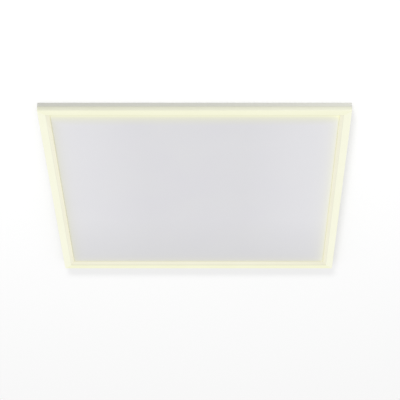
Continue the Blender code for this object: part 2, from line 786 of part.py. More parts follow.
def clip_spring():
    points, curls = spring_points()
    curve = bpy.data.curves.new("clip_spring", "CURVE")
    curve.dimensions = "3D"
    curve.bevel_depth = SPRING_WIRE / 2
    curve.bevel_resolution = 1
    curve.use_fill_caps = True
    spline = curve.splines.new("POLY")
    spline.points.add(len(points) - 1)
    for point, place in zip(spline.points, points):
        point.co = (*place, 1)
    guide = link("clip_spring_guide", curve)
    mesh = evaluated_mesh(guide)
    bpy.data.objects.remove(guide)
    shape = bmesh.new()
    shape.from_mesh(mesh)
    bmesh.ops.remove_doubles(shape, verts=shape.verts, dist=1e-6)
    bmesh.ops.recalc_face_normals(shape, faces=shape.faces)
    shape.to_mesh(mesh)
    shape.free()
    apart = SPRING_POINTS - 2
    least = min(
        (a - b).length for i, a in enumerate(points) for b in points[i + apart:]
    )
    gap = (least - SPRING_WIRE) * 1000
    print(f"clip spring: {len(curls)} points on its curls, least gap to itself {gap:.2f} mm")
    return smooth(mesh)


def spring_clips():
    """Two clips on the tray's left wall and two on its right; each piece has its origin on the pin's axis."""
    pieces = {
        "bracket": (clip_bracket(), GALVANISED),
        "arm": (clip_arm(), GALVANISED),
        "pin": (clip_pin(), SPRING_STEEL),
        "pad": (clip_pad(), RUBBER),
        "spring": (clip_spring(), SPRING_STEEL),
    }
    out = TRAY_HALF + FIT + PIN_OUT
    places = {
        "right_near": (out, -CLIP_SPREAD, 0),
        "right_far": (out, CLIP_SPREAD, 0),
        "left_far": (-out, CLIP_SPREAD, math.pi),
        "left_near": (-out, -CLIP_SPREAD, math.pi),
    }
    for where, (x, y, turn) in places.items():
        for piece, (mesh, coat) in pieces.items():
            clip = link("clip_" + piece + "_" + where, mesh, coat)
            clip.location = (x, y, PIN_LEVEL)
            clip.rotation_euler.z = turn


def hinge_line():
    """Height and depth of the junction box's hinge axis, which lets the lid's knuckle run into its sheet."""
    y = BOXES_Y + BOX_WIDTH / 2 + FIT + KNUCKLE_RADIUS
    z = BOX_TOP + FIT + BOX_SHEET - KNUCKLE_SUNK - KNUCKLE_RADIUS
    return y, z


def junction_box():
    """Folded steel box, open at the top, with two hinge knuckles and holes for the gland and the lead."""
    mesh = pan("junction_box", (BOX_X, BOXES_Y), BOX_LENGTH / 2, BOX_WIDTH / 2, TOP, BOX_TOP, open_top=True)
    box = fold(link("junction_box", mesh, GALVANISED), BOX_BEND, BOX_SHEET)
    y, z = hinge_line()
    wall = BOXES_Y + BOX_WIDTH / 2
    inner = LID_KNUCKLE / 2 + FIT
    outer = inner + BOX_KNUCKLE
    tubes = []
    webs = []
    for side in (-1, 1):
        ends = sorted((BOX_X + side * inner, BOX_X + side * outer))
        tubes.append(((ends[0], y, z), (ends[1], y, z)))
        inset = BOX_SHEET / 4
        webs.append((
            (ends[0] + inset, wall - BOX_SHEET / 2, z - KNUCKLE_RADIUS + inset),
            (ends[1] - inset, y, z),
        ))
    boolean(box, boxes("webs", webs), "UNION")
    boolean(box, rods("knuckles", tubes, KNUCKLE_RADIUS), "UNION")
    pin_way = [((BOX_X - BOX_LENGTH, y, z), (BOX_X + BOX_LENGTH, y, z))]
    boolean(box, rods("hinge_bore", pin_way, HINGE_PIN + PIN_PLAY), "DIFFERENCE")
    left = BOX_X - BOX_LENGTH / 2
    right = BOX_X + BOX_LENGTH / 2
    gland_way = [((left - BOX_BEND, BOXES_Y, GLAND_Z), (left + BOX_BEND, BOXES_Y, GLAND_Z))]
    boolean(box, rods("gland_hole", gland_way, GLAND_THREAD + FIT, 24), "DIFFERENCE")
    lead_way = [((right - BOX_BEND, BOXES_Y, LEAD_Z), (right + BOX_BEND, BOXES_Y, LEAD_Z))]
    boolean(box, rods("lead_hole", lead_way, LEAD_RADIUS + LEAD_PLAY), "DIFFERENCE")


def junction_box_lid():
    """Lid with lips on three sides and a knuckle on a tab; its origin is on the hinge axis."""
    y, z = hinge_line()
    low = BOX_TOP + FIT
    high = low + BOX_SHEET
    grow = LID_PLAY + BOX_SHEET
    half_x = BOX_LENGTH / 2 + grow
    far = BOXES_Y + BOX_WIDTH / 2
    near = BOXES_Y - BOX_WIDTH / 2 - grow
    middle = (0, (near + far) / 2 - y)
    half_y = (far - near) / 2
    lip = high - LID_LIP - z
    mesh = pan("junction_box_lid", middle, half_x, half_y, lip, high - z, open_top=False, open_far=True)
    lid = fold(link("junction_box_lid", mesh, GALVANISED), BOX_BEND, BOX_SHEET)
    lid.location = (BOX_X, y, z)
    inset = BOX_SHEET / 10
    tab = boolean(lid, boxes("tab", [(
        (-LID_KNUCKLE / 2 + inset, far - BOX_BEND - y, low + inset - z),
        (LID_KNUCKLE / 2 - inset, 0, high - inset - z),
    )]), "UNION")
    knuckle = rods("knuckle", [((-LID_KNUCKLE / 2, 0, 0), (LID_KNUCKLE / 2, 0, 0))], KNUCKLE_RADIUS)
    knuckle = boolean(lid, knuckle, "UNION")
    bore = rods("bore", [((-LID_KNUCKLE, 0, 0), (LID_KNUCKLE, 0, 0))], HINGE_PIN + PIN_PLAY)
    bore = boolean(lid, bore, "DIFFERENCE")
    for helper in (tab, knuckle, bore):
        helper.location = lid.location


def hinge_pin():
    y, z = hinge_line()
    end = LID_KNUCKLE / 2 + 2 * FIT + BOX_KNUCKLE
    profile = [
        (0, end + PIN_TAIL),
        (HINGE_PIN, end + PIN_TAIL),
        (HINGE_PIN, -end),
        (HINGE_PIN + BOX_SHEET / 2, -end),
        (HINGE_PIN + BOX_SHEET / 2, -end - BOX_SHEET),
        (0, -end - BOX_SHEET),
    ]
    place = Matrix.Translation((BOX_X, y, z)) @ Matrix.Rotation(math.pi / 2, 4, "Y")
    link("hinge_pin", turned("hinge_pin", profile, 12, place), SPRING_STEEL)


def terminal_block():
    """Block with a screw well over each pole, barriers between the poles and wire entries at both ends."""
    floor = TOP + BOX_SHEET + FIT
    right = BOX_X + BOX_LENGTH / 2 - TERMINAL_FROM_WALL
    left = right - TERMINAL_LENGTH
    half = TERMINAL_POLES * TERMINAL_PITCH / 2
    high = floor + TERMINAL_HEIGHT
    block = link("terminal_block", boxes("terminal_block", [
        ((left, BOXES_Y - half, floor), (right, BOXES_Y + half, high)),
    ]), WHITE_PLASTIC)
    soften(block, TERMINAL_EDGE, 1)
    barriers = []
    for k in range(1, TERMINAL_POLES):
        y = BOXES_Y - half + TERMINAL_PITCH * k
        barriers.append((
            (left + 2 * TERMINAL_EDGE, y - TERMINAL_BARRIER / 2, high - TERMINAL_BARRIER),
            (right - 2 * TERMINAL_EDGE, y + TERMINAL_BARRIER / 2, high + TERMINAL_BARRIER_HEIGHT),
        ))
    boolean(block, boxes("barriers", barriers), "UNION")
    wells = []
    entries = []
    # The lead ends in front of the middle entry on the right, so all entries are at its level.
    level = LEAD_Z - FIT
    for k in range(TERMINAL_POLES):
        y = BOXES_Y - half + TERMINAL_PITCH * (k + 0.5)
        for x in (left + TERMINAL_LENGTH / 4, right - TERMINAL_LENGTH / 4):
            wells.append(((x, y, high - TERMINAL_WELL_DEPTH), (x, y, high + TERMINAL_WELL_DEPTH)))
        for x in (left, right):
            entries.append(((x - TERMINAL_ENTRY, y, level), (x + TERMINAL_ENTRY, y, level)))
    boolean(block, rods("wells", wells, TERMINAL_WELL, 8), "DIFFERENCE")
    boolean(block, rods("entries", entries, TERMINAL_ENTRY, 8), "DIFFERENCE")


def earth_stud():
    """Hexagon and stem beside the terminal block, on the box's floor."""
    x = BOX_X + BOX_LENGTH / 2 - TERMINAL_FROM_WALL - TERMINAL_LENGTH / 2
    y = BOXES_Y - BOX_WIDTH / 2 + BOX_SHEET + EARTH_FROM_WALL
    profile = [
        (0, EARTH_HEIGHT),
        (EARTH_STEM, EARTH_HEIGHT),
        (EARTH_STEM, EARTH_HEIGHT / 2),
        (EARTH_HEX, EARTH_HEIGHT / 2),
        (EARTH_HEX, 0),
        (0, 0),
    ]
    place = Matrix.Translation((x, y, TOP + BOX_SHEET + FIT))
    link("earth_stud", turned("earth_stud", profile, 6, place), BRASS)


def cable_gland():
    """Hexagon collar and domed hexagon cap outside the box's left wall, thread through it, locknut inside."""
    inside = -BOX_SHEET - FIT
    cap_low = FIT + GLAND_COLLAR_LENGTH + GLAND_GAP
    cap_high = cap_low + GLAND_CAP_LENGTH
    tail = inside - GLAND_NUT_LENGTH - GLAND_TAIL
    profile = [(GLAND_BORE, cap_high + GLAND_DOME_LENGTH)]
    for k in range(ARC_STEPS + 1):
        angle = math.pi / 2 * k / ARC_STEPS
        radius = GLAND_LIP + (GLAND_DOME - GLAND_LIP) * math.sin(angle)
        profile.append((radius, cap_high + GLAND_DOME_LENGTH * math.cos(angle)))
    profile += [
        (GLAND_DOME, (cap_low + cap_high) / 2),
        (GLAND_THREAD, (cap_low + cap_high) / 2),
        (GLAND_THREAD, tail),
        (GLAND_BORE, tail),
    ]
    wall = Matrix.Translation((BOX_X - BOX_LENGTH / 2, BOXES_Y, GLAND_Z))
    place = wall @ Matrix.Rotation(-math.pi / 2, 4, "Y")
    gland = link("cable_gland", turned("cable_gland", profile, 16, place, ring=True), DARK_PLASTIC)
    hexagons = {
        "locknut": (inside - GLAND_NUT_LENGTH, inside),
        "collar": (FIT, FIT + GLAND_COLLAR_LENGTH),
        "cap": (cap_low, cap_high),
    }
    outline = circle(0, 0, GLAND_HEX, 6)
    hole = circle(0, 0, (GLAND_BORE + GLAND_THREAD) / 2)
    for name, (low, high) in hexagons.items():
        level = place @ Matrix.Translation((0, 0, (low + high) / 2))
        boolean(gland, extruded(name, [outline, hole], high - low, level), "UNION")


def eared_base(name, x, length, width, coat):
    """Flat base with a slotted ear at each end."""
    half = length / 2
    ear = width / 4
    end = half + EAR_LENGTH
    corners = [
        (-half, -width / 2), (half, -width / 2), (half, -ear), (end, -ear, ear / 2),
        (end, ear, ear / 2), (half, ear), (half, width / 2), (-half, width / 2),
        (-half, ear), (-end, ear, ear / 2), (-end, -ear, ear / 2), (-half, -ear),
    ]
    holes = [circle(side * (half + EAR_LENGTH / 2), 0, EAR_SLOT) for side in (-1, 1)]
    place = Matrix.Translation((x, BOXES_Y, TOP + BASE_THICKNESS / 2))
    link(name, extruded(name, [rounded(corners), *holes], BASE_THICKNESS, place), coat)


def button_axis():
    return RECEIVER_X + RECEIVER_LENGTH / 2 - BUTTON_FROM_END, BOXES_Y


def receiver():
    """Base, cover with the button's hole, and the board with its relay and switch inside."""
    eared_base("receiver_base", RECEIVER_X, RECEIVER_LENGTH, RECEIVER_WIDTH, GREY_PLASTIC)
    low = TOP + BASE_THICKNESS + FIT
    high = TOP + RECEIVER_HEIGHT
    middle = (RECEIVER_X, BOXES_Y)
    mesh = pan("receiver_cover", middle, RECEIVER_LENGTH / 2, RECEIVER_WIDTH / 2, low, high, open_top=False)
    cover = fold(link("receiver_cover", mesh, WHITE_PLASTIC), RECEIVER_EDGE, RECEIVER_WALL)
    across = (RECEIVER_X - RECEIVER_LENGTH, BOXES_Y, LEAD_Z), (RECEIVER_X + RECEIVER_LENGTH, BOXES_Y, LEAD_Z)
    nearby = (RECEIVER_X, BOXES_Y - RECEIVER_WIDTH, LEAD_Z), (RECEIVER_X, BOXES_Y, LEAD_Z)
    boolean(cover, rods("lead_holes_across", [across], LEAD_RADIUS + LEAD_PLAY), "DIFFERENCE")
    boolean(cover, rods("lead_hole_near", [nearby], LEAD_RADIUS + LEAD_PLAY), "DIFFERENCE")
    x, y = button_axis()
    way = [((x, y, high - 2 * RECEIVER_WALL), (x, y, high + RECEIVER_WALL))]
    boolean(cover, rods("button_hole", way, BUTTON_RADIUS + FIT, 16), "DIFFERENCE")

    half_x = RECEIVER_LENGTH / 2 - RECEIVER_WALL - BOARD_MARGIN
    half_y = RECEIVER_WIDTH / 2 - RECEIVER_WALL - BOARD_MARGIN
    board_low = TOP + BASE_THICKNESS + BOARD_LIFT
    board_high = board_low + BOARD_THICKNESS
    board = link("receiver_board", boxes("receiver_board", [(
        (RECEIVER_X - half_x, BOXES_Y - half_y, board_low),
        (RECEIVER_X + half_x, BOXES_Y + half_y, board_high),
    )]), BOARD_GREEN)
    sunk = BOARD_THICKNESS / 2
    pillar = RELAY_SIZE[1] / 3
    foot = TOP + BASE_THICKNESS + FIT
    switch_top = button_brim_low() - BUTTON_TRAVEL - FIT
    relay_x = RECEIVER_X - half_x + pillar
    relay_low = (relay_x, BOXES_Y - RELAY_SIZE[1] / 2, board_high - sunk)
    relay_high = (relay_x + RELAY_SIZE[0], BOXES_Y + RELAY_SIZE[1] / 2, board_high + RELAY_SIZE[2])
    side = SWITCH_SIDE / 2
    boolean(board, boxes("fittings", [
        (relay_low, relay_high),
        ((x - side, y - side, board_high - sunk), (x + side, y + side, switch_top)),
        ((RECEIVER_X - half_x + pillar, BOXES_Y - half_y + pillar, foot),
         (RECEIVER_X - half_x + 2 * pillar, BOXES_Y - half_y + 2 * pillar, board_low + sunk)),
        ((RECEIVER_X + half_x - 2 * pillar, BOXES_Y + half_y - 2 * pillar, foot),
         (RECEIVER_X + half_x - pillar, BOXES_Y + half_y - pillar, board_low + sunk)),
    ]), "UNION")


def button_brim_low():
    return TOP + RECEIVER_HEIGHT - RECEIVER_WALL - FIT - BUTTON_BRIM_HEIGHT


def pairing_button():
    """Round push button, held behind the cover by its brim; its origin is on its line of travel."""
    top = BUTTON_BRIM_HEIGHT + FIT + RECEIVER_WALL + BUTTON_STAND
    soft = BUTTON_STAND / 3
    profile = [
        (0, top),
        (BUTTON_RADIUS - soft, top),
        (BUTTON_RADIUS, top - soft),
        (BUTTON_RADIUS, BUTTON_BRIM_HEIGHT),
        (BUTTON_BRIM, BUTTON_BRIM_HEIGHT),
        (BUTTON_BRIM, 0),
        (0, 0),
    ]
    button = link("pairing_button", turned("pairing_button", profile, 16), GREY_PLASTIC)
    button.location = (*button_axis(), button_brim_low())


def led_driver():
    """Base, and a cover with sloped shoulders and vent grooves across its top at both ends."""
    eared_base("driver_base", DRIVER_X, DRIVER_LENGTH, DRIVER_WIDTH, GREY_PLASTIC)
    low = TOP + BASE_THICKNESS + FIT
    high = TOP + DRIVER_HEIGHT
    half = DRIVER_WIDTH / 2
    section = rounded([
        (-half, low),
        (half, low),
        (half, high - DRIVER_SHOULDER, RECEIVER_EDGE),
        (half - DRIVER_SHOULDER, high, RECEIVER_EDGE),
        (-half + DRIVER_SHOULDER, high, RECEIVER_EDGE),
        (-half, high - DRIVER_SHOULDER, RECEIVER_EDGE),
    ], 2)
    place = Matrix.Translation((DRIVER_X, BOXES_Y, 0)) @ ALONG_X
    cover = link("driver_cover", extruded("driver_cover", [section], DRIVER_LENGTH, place), WHITE_PLASTIC)
    grooves = []
    for side in (-1, 1):
        for k in range(VENT_SLOTS):
            x = DRIVER_X + side * (DRIVER_LENGTH / 2 - VENT_FROM_END - k * VENT_PITCH)
            grooves.append((
                (x - VENT_WIDTH / 2, BOXES_Y - VENT_SPAN / 2, high - VENT_DEPTH),
                (x + VENT_WIDTH / 2, BOXES_Y + VENT_SPAN / 2, high + VENT_DEPTH),
            ))
    boolean(cover, boxes("vents", grooves), "DIFFERENCE")
    entries = []
    for side in (-1, 1):
        end = DRIVER_X + side * DRIVER_LENGTH / 2
        reach = side * (LEAD_ENTRY + FIT)
        entries.append(((end - reach, BOXES_Y, LEAD_Z), (end + reach, BOXES_Y, LEAD_Z)))
    boolean(cover, rods("lead_entries", entries, LEAD_RADIUS + LEAD_PLAY), "DIFFERENCE")


def smooth_route(points):
    """Points along a smooth curve through the route's own points."""
    rows = [Vector(point) for point in points]
    ends = [2 * rows[0] - rows[1], *rows, 2 * rows[-1] - rows[-2]]
    path = []
    for a, b, c, d in zip(ends, ends[1:], ends[2:], ends[3:]):
        for k in range(LEAD_STEPS):
            t = k / LEAD_STEPS
            square = 2 * a - 5 * b + 4 * c - d
            cube = 3 * b - a - 3 * c + d
            path.append((2 * b + (c - a) * t + square * t**2 + cube * t**3) / 2)
    return [*path, rows[-1]]


def lead(name, points):
    curve = bpy.data.curves.new(name, "CURVE")
    curve.dimensions = "3D"
    curve.bevel_depth = LEAD_RADIUS
    curve.bevel_resolution = 2
    curve.use_fill_caps = True
    path = smooth_route(points)
    spline = curve.splines.new("POLY")
    spline.points.add(len(path) - 1)
    for point, place in zip(spline.points, path):
        point.co = (*place, 1)
    link(name, curve, LEAD_SHEATH)


def drop(start, way, grommet):
    """Route out of a cover along one direction, then down through a grommet."""
    start = Vector((*start, LEAD_Z))
    way = Vector((*way, 0))
    over = Vector((*grommet, 0))
    return [
        start,
        start + way * (LEAD_ENTRY + LEAD_STRAIGHT),
        over - way * LEAD_BEND_RUN + Vector((0, 0, LEAD_Z - LEAD_BEND_DROP)),
        over - way * LEAD_TURN_RUN + Vector((0, 0, LEAD_Z - LEAD_TURN_DROP)),
        over + Vector((0, 0, TRAY_TOP + GROMMET_LIFT + 2 * FIT)),
        over + Vector((0, 0, TRAY_TOP - TRAY_SHEET)),
    ]


def hung(start, end, aside):
    """Route straight out of one opening and into the next, a little slack and to one side between them."""
    slack = 2 * LEAD_RADIUS
    return [
        (start, BOXES_Y, LEAD_Z),
        (start + LEAD_ENTRY + slack, BOXES_Y, LEAD_Z),
        ((start + end) / 2, BOXES_Y + aside * LEAD_RADIUS / 2, LEAD_Z - LEAD_RADIUS),
        (end - LEAD_ENTRY - slack, BOXES_Y, LEAD_Z),
        (end, BOXES_Y, LEAD_Z),
    ]


def leads():
    """The four leads that the boxes and the grommets hold from end to end."""
    receiver_left = RECEIVER_X - RECEIVER_LENGTH / 2 + LEAD_ENTRY
    receiver_right = RECEIVER_X + RECEIVER_LENGTH / 2 - LEAD_ENTRY
    driver_left = DRIVER_X - DRIVER_LENGTH / 2 + LEAD_ENTRY
    driver_right = DRIVER_X + DRIVER_LENGTH / 2 - LEAD_ENTRY
    wall = BOX_X + BOX_LENGTH / 2
    block = (wall - TERMINAL_FROM_WALL + FIT, BOXES_Y, LEAD_Z)
    lead("mains_lead", [block, *hung(wall - LEAD_ENTRY, receiver_left, -1)])
    lead("driver_lead", hung(receiver_right, driver_left, 1))
    places = grommet_places()
    near = BOXES_Y - RECEIVER_WIDTH / 2 + LEAD_ENTRY
    lead("heater_lead", drop((RECEIVER_X, near), (0, -1), places["heater"]))
    lead("led_lead", drop((driver_right, BOXES_Y), (1, 0), places["led"]))


frame_rails()
diffusers()
corner_keys()
led_boards()
radiant_plate()
heating_stack()
back_tray()
grommets()
spring_clips()
junction_box()
junction_box_lid()
hinge_pin()
terminal_block()
earth_stud()
cable_gland()
receiver()
pairing_button()
led_driver()
leads()
print(f"{len(PARTS.objects)} pieces")
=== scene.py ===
# %% [markdown]
# A ceiling heating panel with a lit frame, dressed for a picture.
# The solid pieces come ready made and at their real size, in metres, with the panel's centre on the ceiling
# at the origin and +Z up into the ceiling void. This script gives them finishes, adds the fine pieces that
# a maker would add last, and sets up the ceiling, the light and the camera.

import json
import math

import bmesh
import bpy
from mathutils import Matrix, Vector


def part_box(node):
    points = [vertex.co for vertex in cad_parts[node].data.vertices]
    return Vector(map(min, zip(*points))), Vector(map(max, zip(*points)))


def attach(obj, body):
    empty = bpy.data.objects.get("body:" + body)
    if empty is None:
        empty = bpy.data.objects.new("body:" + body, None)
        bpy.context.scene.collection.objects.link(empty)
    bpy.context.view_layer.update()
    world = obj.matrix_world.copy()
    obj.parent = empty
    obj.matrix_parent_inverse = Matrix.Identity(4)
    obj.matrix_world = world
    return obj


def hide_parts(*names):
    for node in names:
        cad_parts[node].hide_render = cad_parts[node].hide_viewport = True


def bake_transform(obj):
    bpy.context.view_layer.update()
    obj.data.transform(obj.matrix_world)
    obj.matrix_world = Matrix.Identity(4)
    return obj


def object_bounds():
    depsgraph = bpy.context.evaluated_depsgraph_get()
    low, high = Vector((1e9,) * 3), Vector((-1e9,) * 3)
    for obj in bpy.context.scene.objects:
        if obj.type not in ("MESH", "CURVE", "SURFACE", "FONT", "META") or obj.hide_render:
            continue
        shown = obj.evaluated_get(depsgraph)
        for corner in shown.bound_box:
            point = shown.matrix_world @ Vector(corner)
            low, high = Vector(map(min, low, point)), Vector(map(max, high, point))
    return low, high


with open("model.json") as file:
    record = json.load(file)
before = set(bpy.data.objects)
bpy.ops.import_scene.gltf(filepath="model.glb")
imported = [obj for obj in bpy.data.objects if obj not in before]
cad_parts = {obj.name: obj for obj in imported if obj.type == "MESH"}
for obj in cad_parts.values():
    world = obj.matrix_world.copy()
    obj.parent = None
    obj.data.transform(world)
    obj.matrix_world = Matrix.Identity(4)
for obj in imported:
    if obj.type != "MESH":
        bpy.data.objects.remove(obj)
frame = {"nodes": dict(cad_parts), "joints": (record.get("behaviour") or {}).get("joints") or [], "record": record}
nodes = frame["nodes"]
cad_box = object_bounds()
print(len(nodes), "solid pieces, box in m:", [tuple(round(x, 4) for x in corner) for corner in cad_box])

# %% [markdown]
# The camera stands in the room, a little right of the panel's middle, and looks up at the ceiling.
# A long lens keeps the square's sides nearly parallel, as in a catalogue picture. The small sideways shift
# only puts the panel left of the middle of the frame.

# %% camera
CAMERA_PLACE = (0.0507, -2.519, -1.642)
CAMERA_PITCH = math.radians(32.645)
CAMERA_LENS = 131.0
CAMERA_SHIFT = -0.0534

camera_data = bpy.data.cameras.new("camera")
camera_data.lens = CAMERA_LENS
camera_data.shift_x = CAMERA_SHIFT
camera = bpy.data.objects.new("camera", camera_data)
camera.location = CAMERA_PLACE
camera.rotation_euler = (math.pi / 2 + CAMERA_PITCH, 0, 0)
bpy.context.scene.collection.objects.link(camera)
bpy.context.scene.camera = camera
bpy.context.scene.view_settings.view_transform = "Standard"
print("camera looks up", round(math.degrees(CAMERA_PITCH), 1), "degrees")

# %% [markdown]
# Every finish is a small tree of shader nodes. Writing out each node takes many lines, so one helper adds a
# node, sets its plain values and wires the rest. Others start a material, which is kept by its name, and
# wire what was worked out to its shader.

# %% node helpers
finishes = {}


def put(tree, kind, inputs=None, **settings):
    """Adds a shader node. An input gets a plain value, or is wired to another node's output."""
    made = tree.nodes.new("ShaderNode" + kind)
    for name, value in settings.items():
        setattr(made, name, value)
    for name, value in (inputs or {}).items():
        if isinstance(value, bpy.types.NodeSocket):
            tree.links.new(value, made.inputs[name])
        else:
            made.inputs[name].default_value = value
    return made


def mixed(tree, share, first, second):
    """A colour between two colours, or two outputs, by a share from 0 to 1. They are sockets 6 and 7."""
    return put(tree, "Mix", {0: share, 6: first, 7: second}, data_type="RGBA").outputs[2]


def between(tree, share, first, second):
    """A value between two values, or two outputs, by a share from 0 to 1. They are sockets 2 and 3."""
    return put(tree, "Mix", {0: share, 2: first, 3: second}, data_type="FLOAT").outputs[0]


def ranged(tree, value, low, high, to_low, to_high):
    """A value moved from one range to another, and held at the ends."""
    inputs = {"Value": value, "From Min": low, "From Max": high, "To Min": to_low, "To Max": to_high}
    return put(tree, "MapRange", inputs).outputs[0]


def sums(tree, operation, *values):
    return put(tree, "Math", dict(enumerate(values)), operation=operation).outputs[0]


def object_place(tree):
    return put(tree, "TexCoord").outputs["Object"]


def label(name):
    """The name that Blender shows on a socket."""
    return name.replace("_", " ").title()


def new_finish(name, **plain):
    """Starts a material with its principled shader's plain values set."""
    finishes[name] = bpy.data.materials.new(name)
    finishes[name].use_nodes = True
    tree = finishes[name].node_tree
    shader = tree.nodes["Principled BSDF"]
    for socket, value in plain.items():
        shader.inputs[label(socket)].default_value = value
    return tree, shader


def feed(tree, shader, **outputs):
    for socket, output in outputs.items():
        tree.links.new(output, shader.inputs[label(socket)])


def bumped(tree, height, strength, distance):
    return put(tree, "Bump", {"Height": height, "Strength": strength, "Distance": distance}).outputs[0]


print("node helpers ready")

# %% [markdown]
# Coats and mouldings share one quiet effect: a fine grain that breaks up the gloss, and wide soft patches
# where the colour and the sheen drift a little. It is a node group, so each finish places it with its own
# sizes. It puts out plain values, and each finish decides what to do with them.

# %% shared group: grain and patches
def new_group(name, inputs, outputs):
    group = bpy.data.node_groups.new(name, "ShaderNodeTree")
    for title, value in inputs.items():
        socket = group.interface.new_socket(title, in_out="INPUT", socket_type="NodeSocketFloat")
        socket.default_value = value
    for title in outputs:
        group.interface.new_socket(title, in_out="OUTPUT", socket_type="NodeSocketFloat")
    return group, group.nodes.new("NodeGroupInput").outputs, group.nodes.new("NodeGroupOutput").inputs


def placed_group(tree, group, **values):
    """Places a group with its values set, and returns its outputs."""
    made = tree.nodes.new("ShaderNodeGroup")
    made.node_tree = group
    for name, value in values.items():
        made.inputs[label(name)].default_value = value
    return made.outputs


tree, given, result = new_group(
    "grain_and_patches", {"Grain Scale": 900.0, "Patch Scale": 12.0}, ["Grain", "Patches"]
)
place = object_place(tree)
fine = put(tree, "TexNoise", {"Vector": place, "Scale": given["Grain Scale"], "Detail": 2.0})
wide = put(tree, "TexNoise", {"Vector": place, "Scale": given["Patch Scale"], "Detail": 3.0})
tree.links.new(fine.outputs["Fac"], result["Grain"])
tree.links.new(ranged(tree, wide.outputs["Fac"], 0.3, 0.7, 0.0, 1.0), result["Patches"])
grain_group = tree
print("group", grain_group.name)

# %% [markdown]
# Everything above the ceiling gathers a little dust on what faces up. The group reads the object's own
# normal, so the dust stays on the same faces when the lid or a clip swings, and breaks it up with noise.

# %% shared group: settled dust
DUST_COLOUR = (0.60, 0.58, 0.54, 1)

tree, given, result = new_group("settled_dust", {"Amount": 0.3, "Scale": 40.0}, ["Dust"])
coordinates = put(tree, "TexCoord").outputs
upward = put(tree, "SeparateXYZ", {"Vector": coordinates["Normal"]}).outputs["Z"]
facing = ranged(tree, upward, 0.5, 1.0, 0.0, 1.0)
clouds = {"Vector": coordinates["Object"], "Scale": given["Scale"], "Detail": 5.0, "Roughness": 0.65}
thick = ranged(tree, put(tree, "TexNoise", clouds).outputs["Fac"], 0.35, 0.75, 0.2, 1.0)
dusty = sums(tree, "MULTIPLY", sums(tree, "MULTIPLY", facing, thick), given["Amount"])
tree.links.new(dusty, result["Dust"])
dust_group = tree
print("group", dust_group.name)

# %% [markdown]
# A coat or a moulding is then the same recipe each time: two close colours drift by the patches, the gloss
# drifts with them, the grain goes into a bump, and dust lies over the colour where the piece has any. One
# function holds the recipe, and a table holds what differs.

# %% coats and mouldings
COATS = {
    # name: light colour, dark colour, roughness from and to, grain scale, patch scale, relief in m, dust
    "white_coat": ((0.70, 0.70, 0.64), (0.68, 0.68, 0.62), (0.40, 0.50), 1100, 14, 0.0001, 0),
    "white_plastic": ((0.80, 0.80, 0.78), (0.76, 0.76, 0.735), (0.38, 0.52), 1600, 30, 0.00008, 0.35),
    "grey_plastic": ((0.30, 0.31, 0.32), (0.25, 0.26, 0.27), (0.42, 0.58), 1600, 30, 0.00008, 0.3),
    "dark_plastic": ((0.040, 0.040, 0.044), (0.062, 0.062, 0.066), (0.35, 0.5), 1500, 40, 0.00008, 0.2),
    "rubber": ((0.028, 0.028, 0.028), (0.05, 0.049, 0.047), (0.7, 0.9), 1300, 60, 0.00012, 0.25),
    "lead_sheath": ((0.74, 0.74, 0.72), (0.68, 0.68, 0.655), (0.5, 0.65), 1400, 70, 0.00006, 0.3),
}


def coat(name, light, dark, gloss, grain_scale, patch_scale, relief, dust=0, strength=0.5, **plain):
    """Makes a finish, and returns what is needed to go on from it: tree, shader, colour and patches."""
    tree, shader = new_finish(name, **plain)
    grain = placed_group(tree, grain_group, grain_scale=grain_scale, patch_scale=patch_scale)
    colour = mixed(tree, grain["Patches"], (*light, 1), (*dark, 1))
    rough = between(tree, grain["Patches"], *gloss)
    if dust:
        film = placed_group(tree, dust_group, amount=dust)["Dust"]
        colour = mixed(tree, film, colour, DUST_COLOUR)
        rough = sums(tree, "MAXIMUM", rough, film)
    bump = bumped(tree, grain["Grain"], strength, relief)
    feed(tree, shader, base_color=colour, roughness=rough, normal=bump)
    return tree, shader, colour, grain["Patches"]


for name, values in COATS.items():
    coat(name, *values)
print("coats and mouldings:", ", ".join(COATS))

# %% [markdown]
# The tray, the boxes and the clips are galvanised sheet. Molten zinc freezes in flat crystals a few
# millimetres across, each with its own tone and gloss. Voronoi cells give those crystals, a second and
# finer layer breaks them up, and a faint bump lets the light catch their edges.

# %% zinc finishes
WOBBLE_SCALE = 60.0
WOBBLE_DEPTH = 0.006
FINER_CRYSTALS = 2.7
LARGE_SHARE = 0.65

tree, given, result = new_group("zinc_spangle", {"Scale": 110.0}, ["Tone", "Relief"])
place = object_place(tree)
wobble = put(tree, "TexNoise", {"Vector": place, "Scale": WOBBLE_SCALE, "Detail": 2.0}).outputs["Color"]
bend = put(tree, "VectorMath", {0: wobble, 1: [WOBBLE_DEPTH] * 3}, operation="MULTIPLY").outputs[0]
moved = put(tree, "VectorMath", {0: place, 1: bend}, operation="ADD").outputs[0]
large = put(tree, "TexVoronoi", {"Vector": moved, "Scale": given["Scale"]}).outputs
finer = sums(tree, "MULTIPLY", given["Scale"], FINER_CRYSTALS)
small = put(tree, "TexVoronoi", {"Vector": moved, "Scale": finer}).outputs
large_tone = put(tree, "SeparateColor", {0: large["Color"]}).outputs["Red"]
small_tone = put(tree, "SeparateColor", {0: small["Color"]}).outputs["Green"]
tree.links.new(between(tree, LARGE_SHARE, small_tone, large_tone), result["Tone"])
tree.links.new(large["Distance"], result["Relief"])
spangle_group = tree


def zinc(name, scale, light, dark, gloss, dust):
    tree, shader = new_finish(name, metallic=1.0)
    spangle = placed_group(tree, spangle_group, scale=scale)
    film = placed_group(tree, dust_group, amount=dust)["Dust"]
    metal = mixed(tree, spangle["Tone"], (*dark, 1), (*light, 1))
    rough = sums(tree, "MAXIMUM", between(tree, spangle["Tone"], *gloss), film)
    bump = bumped(tree, spangle["Relief"], strength=0.15, distance=0.0004)
    feed(tree, shader, base_color=mixed(tree, film, metal, DUST_COLOUR), roughness=rough, normal=bump)


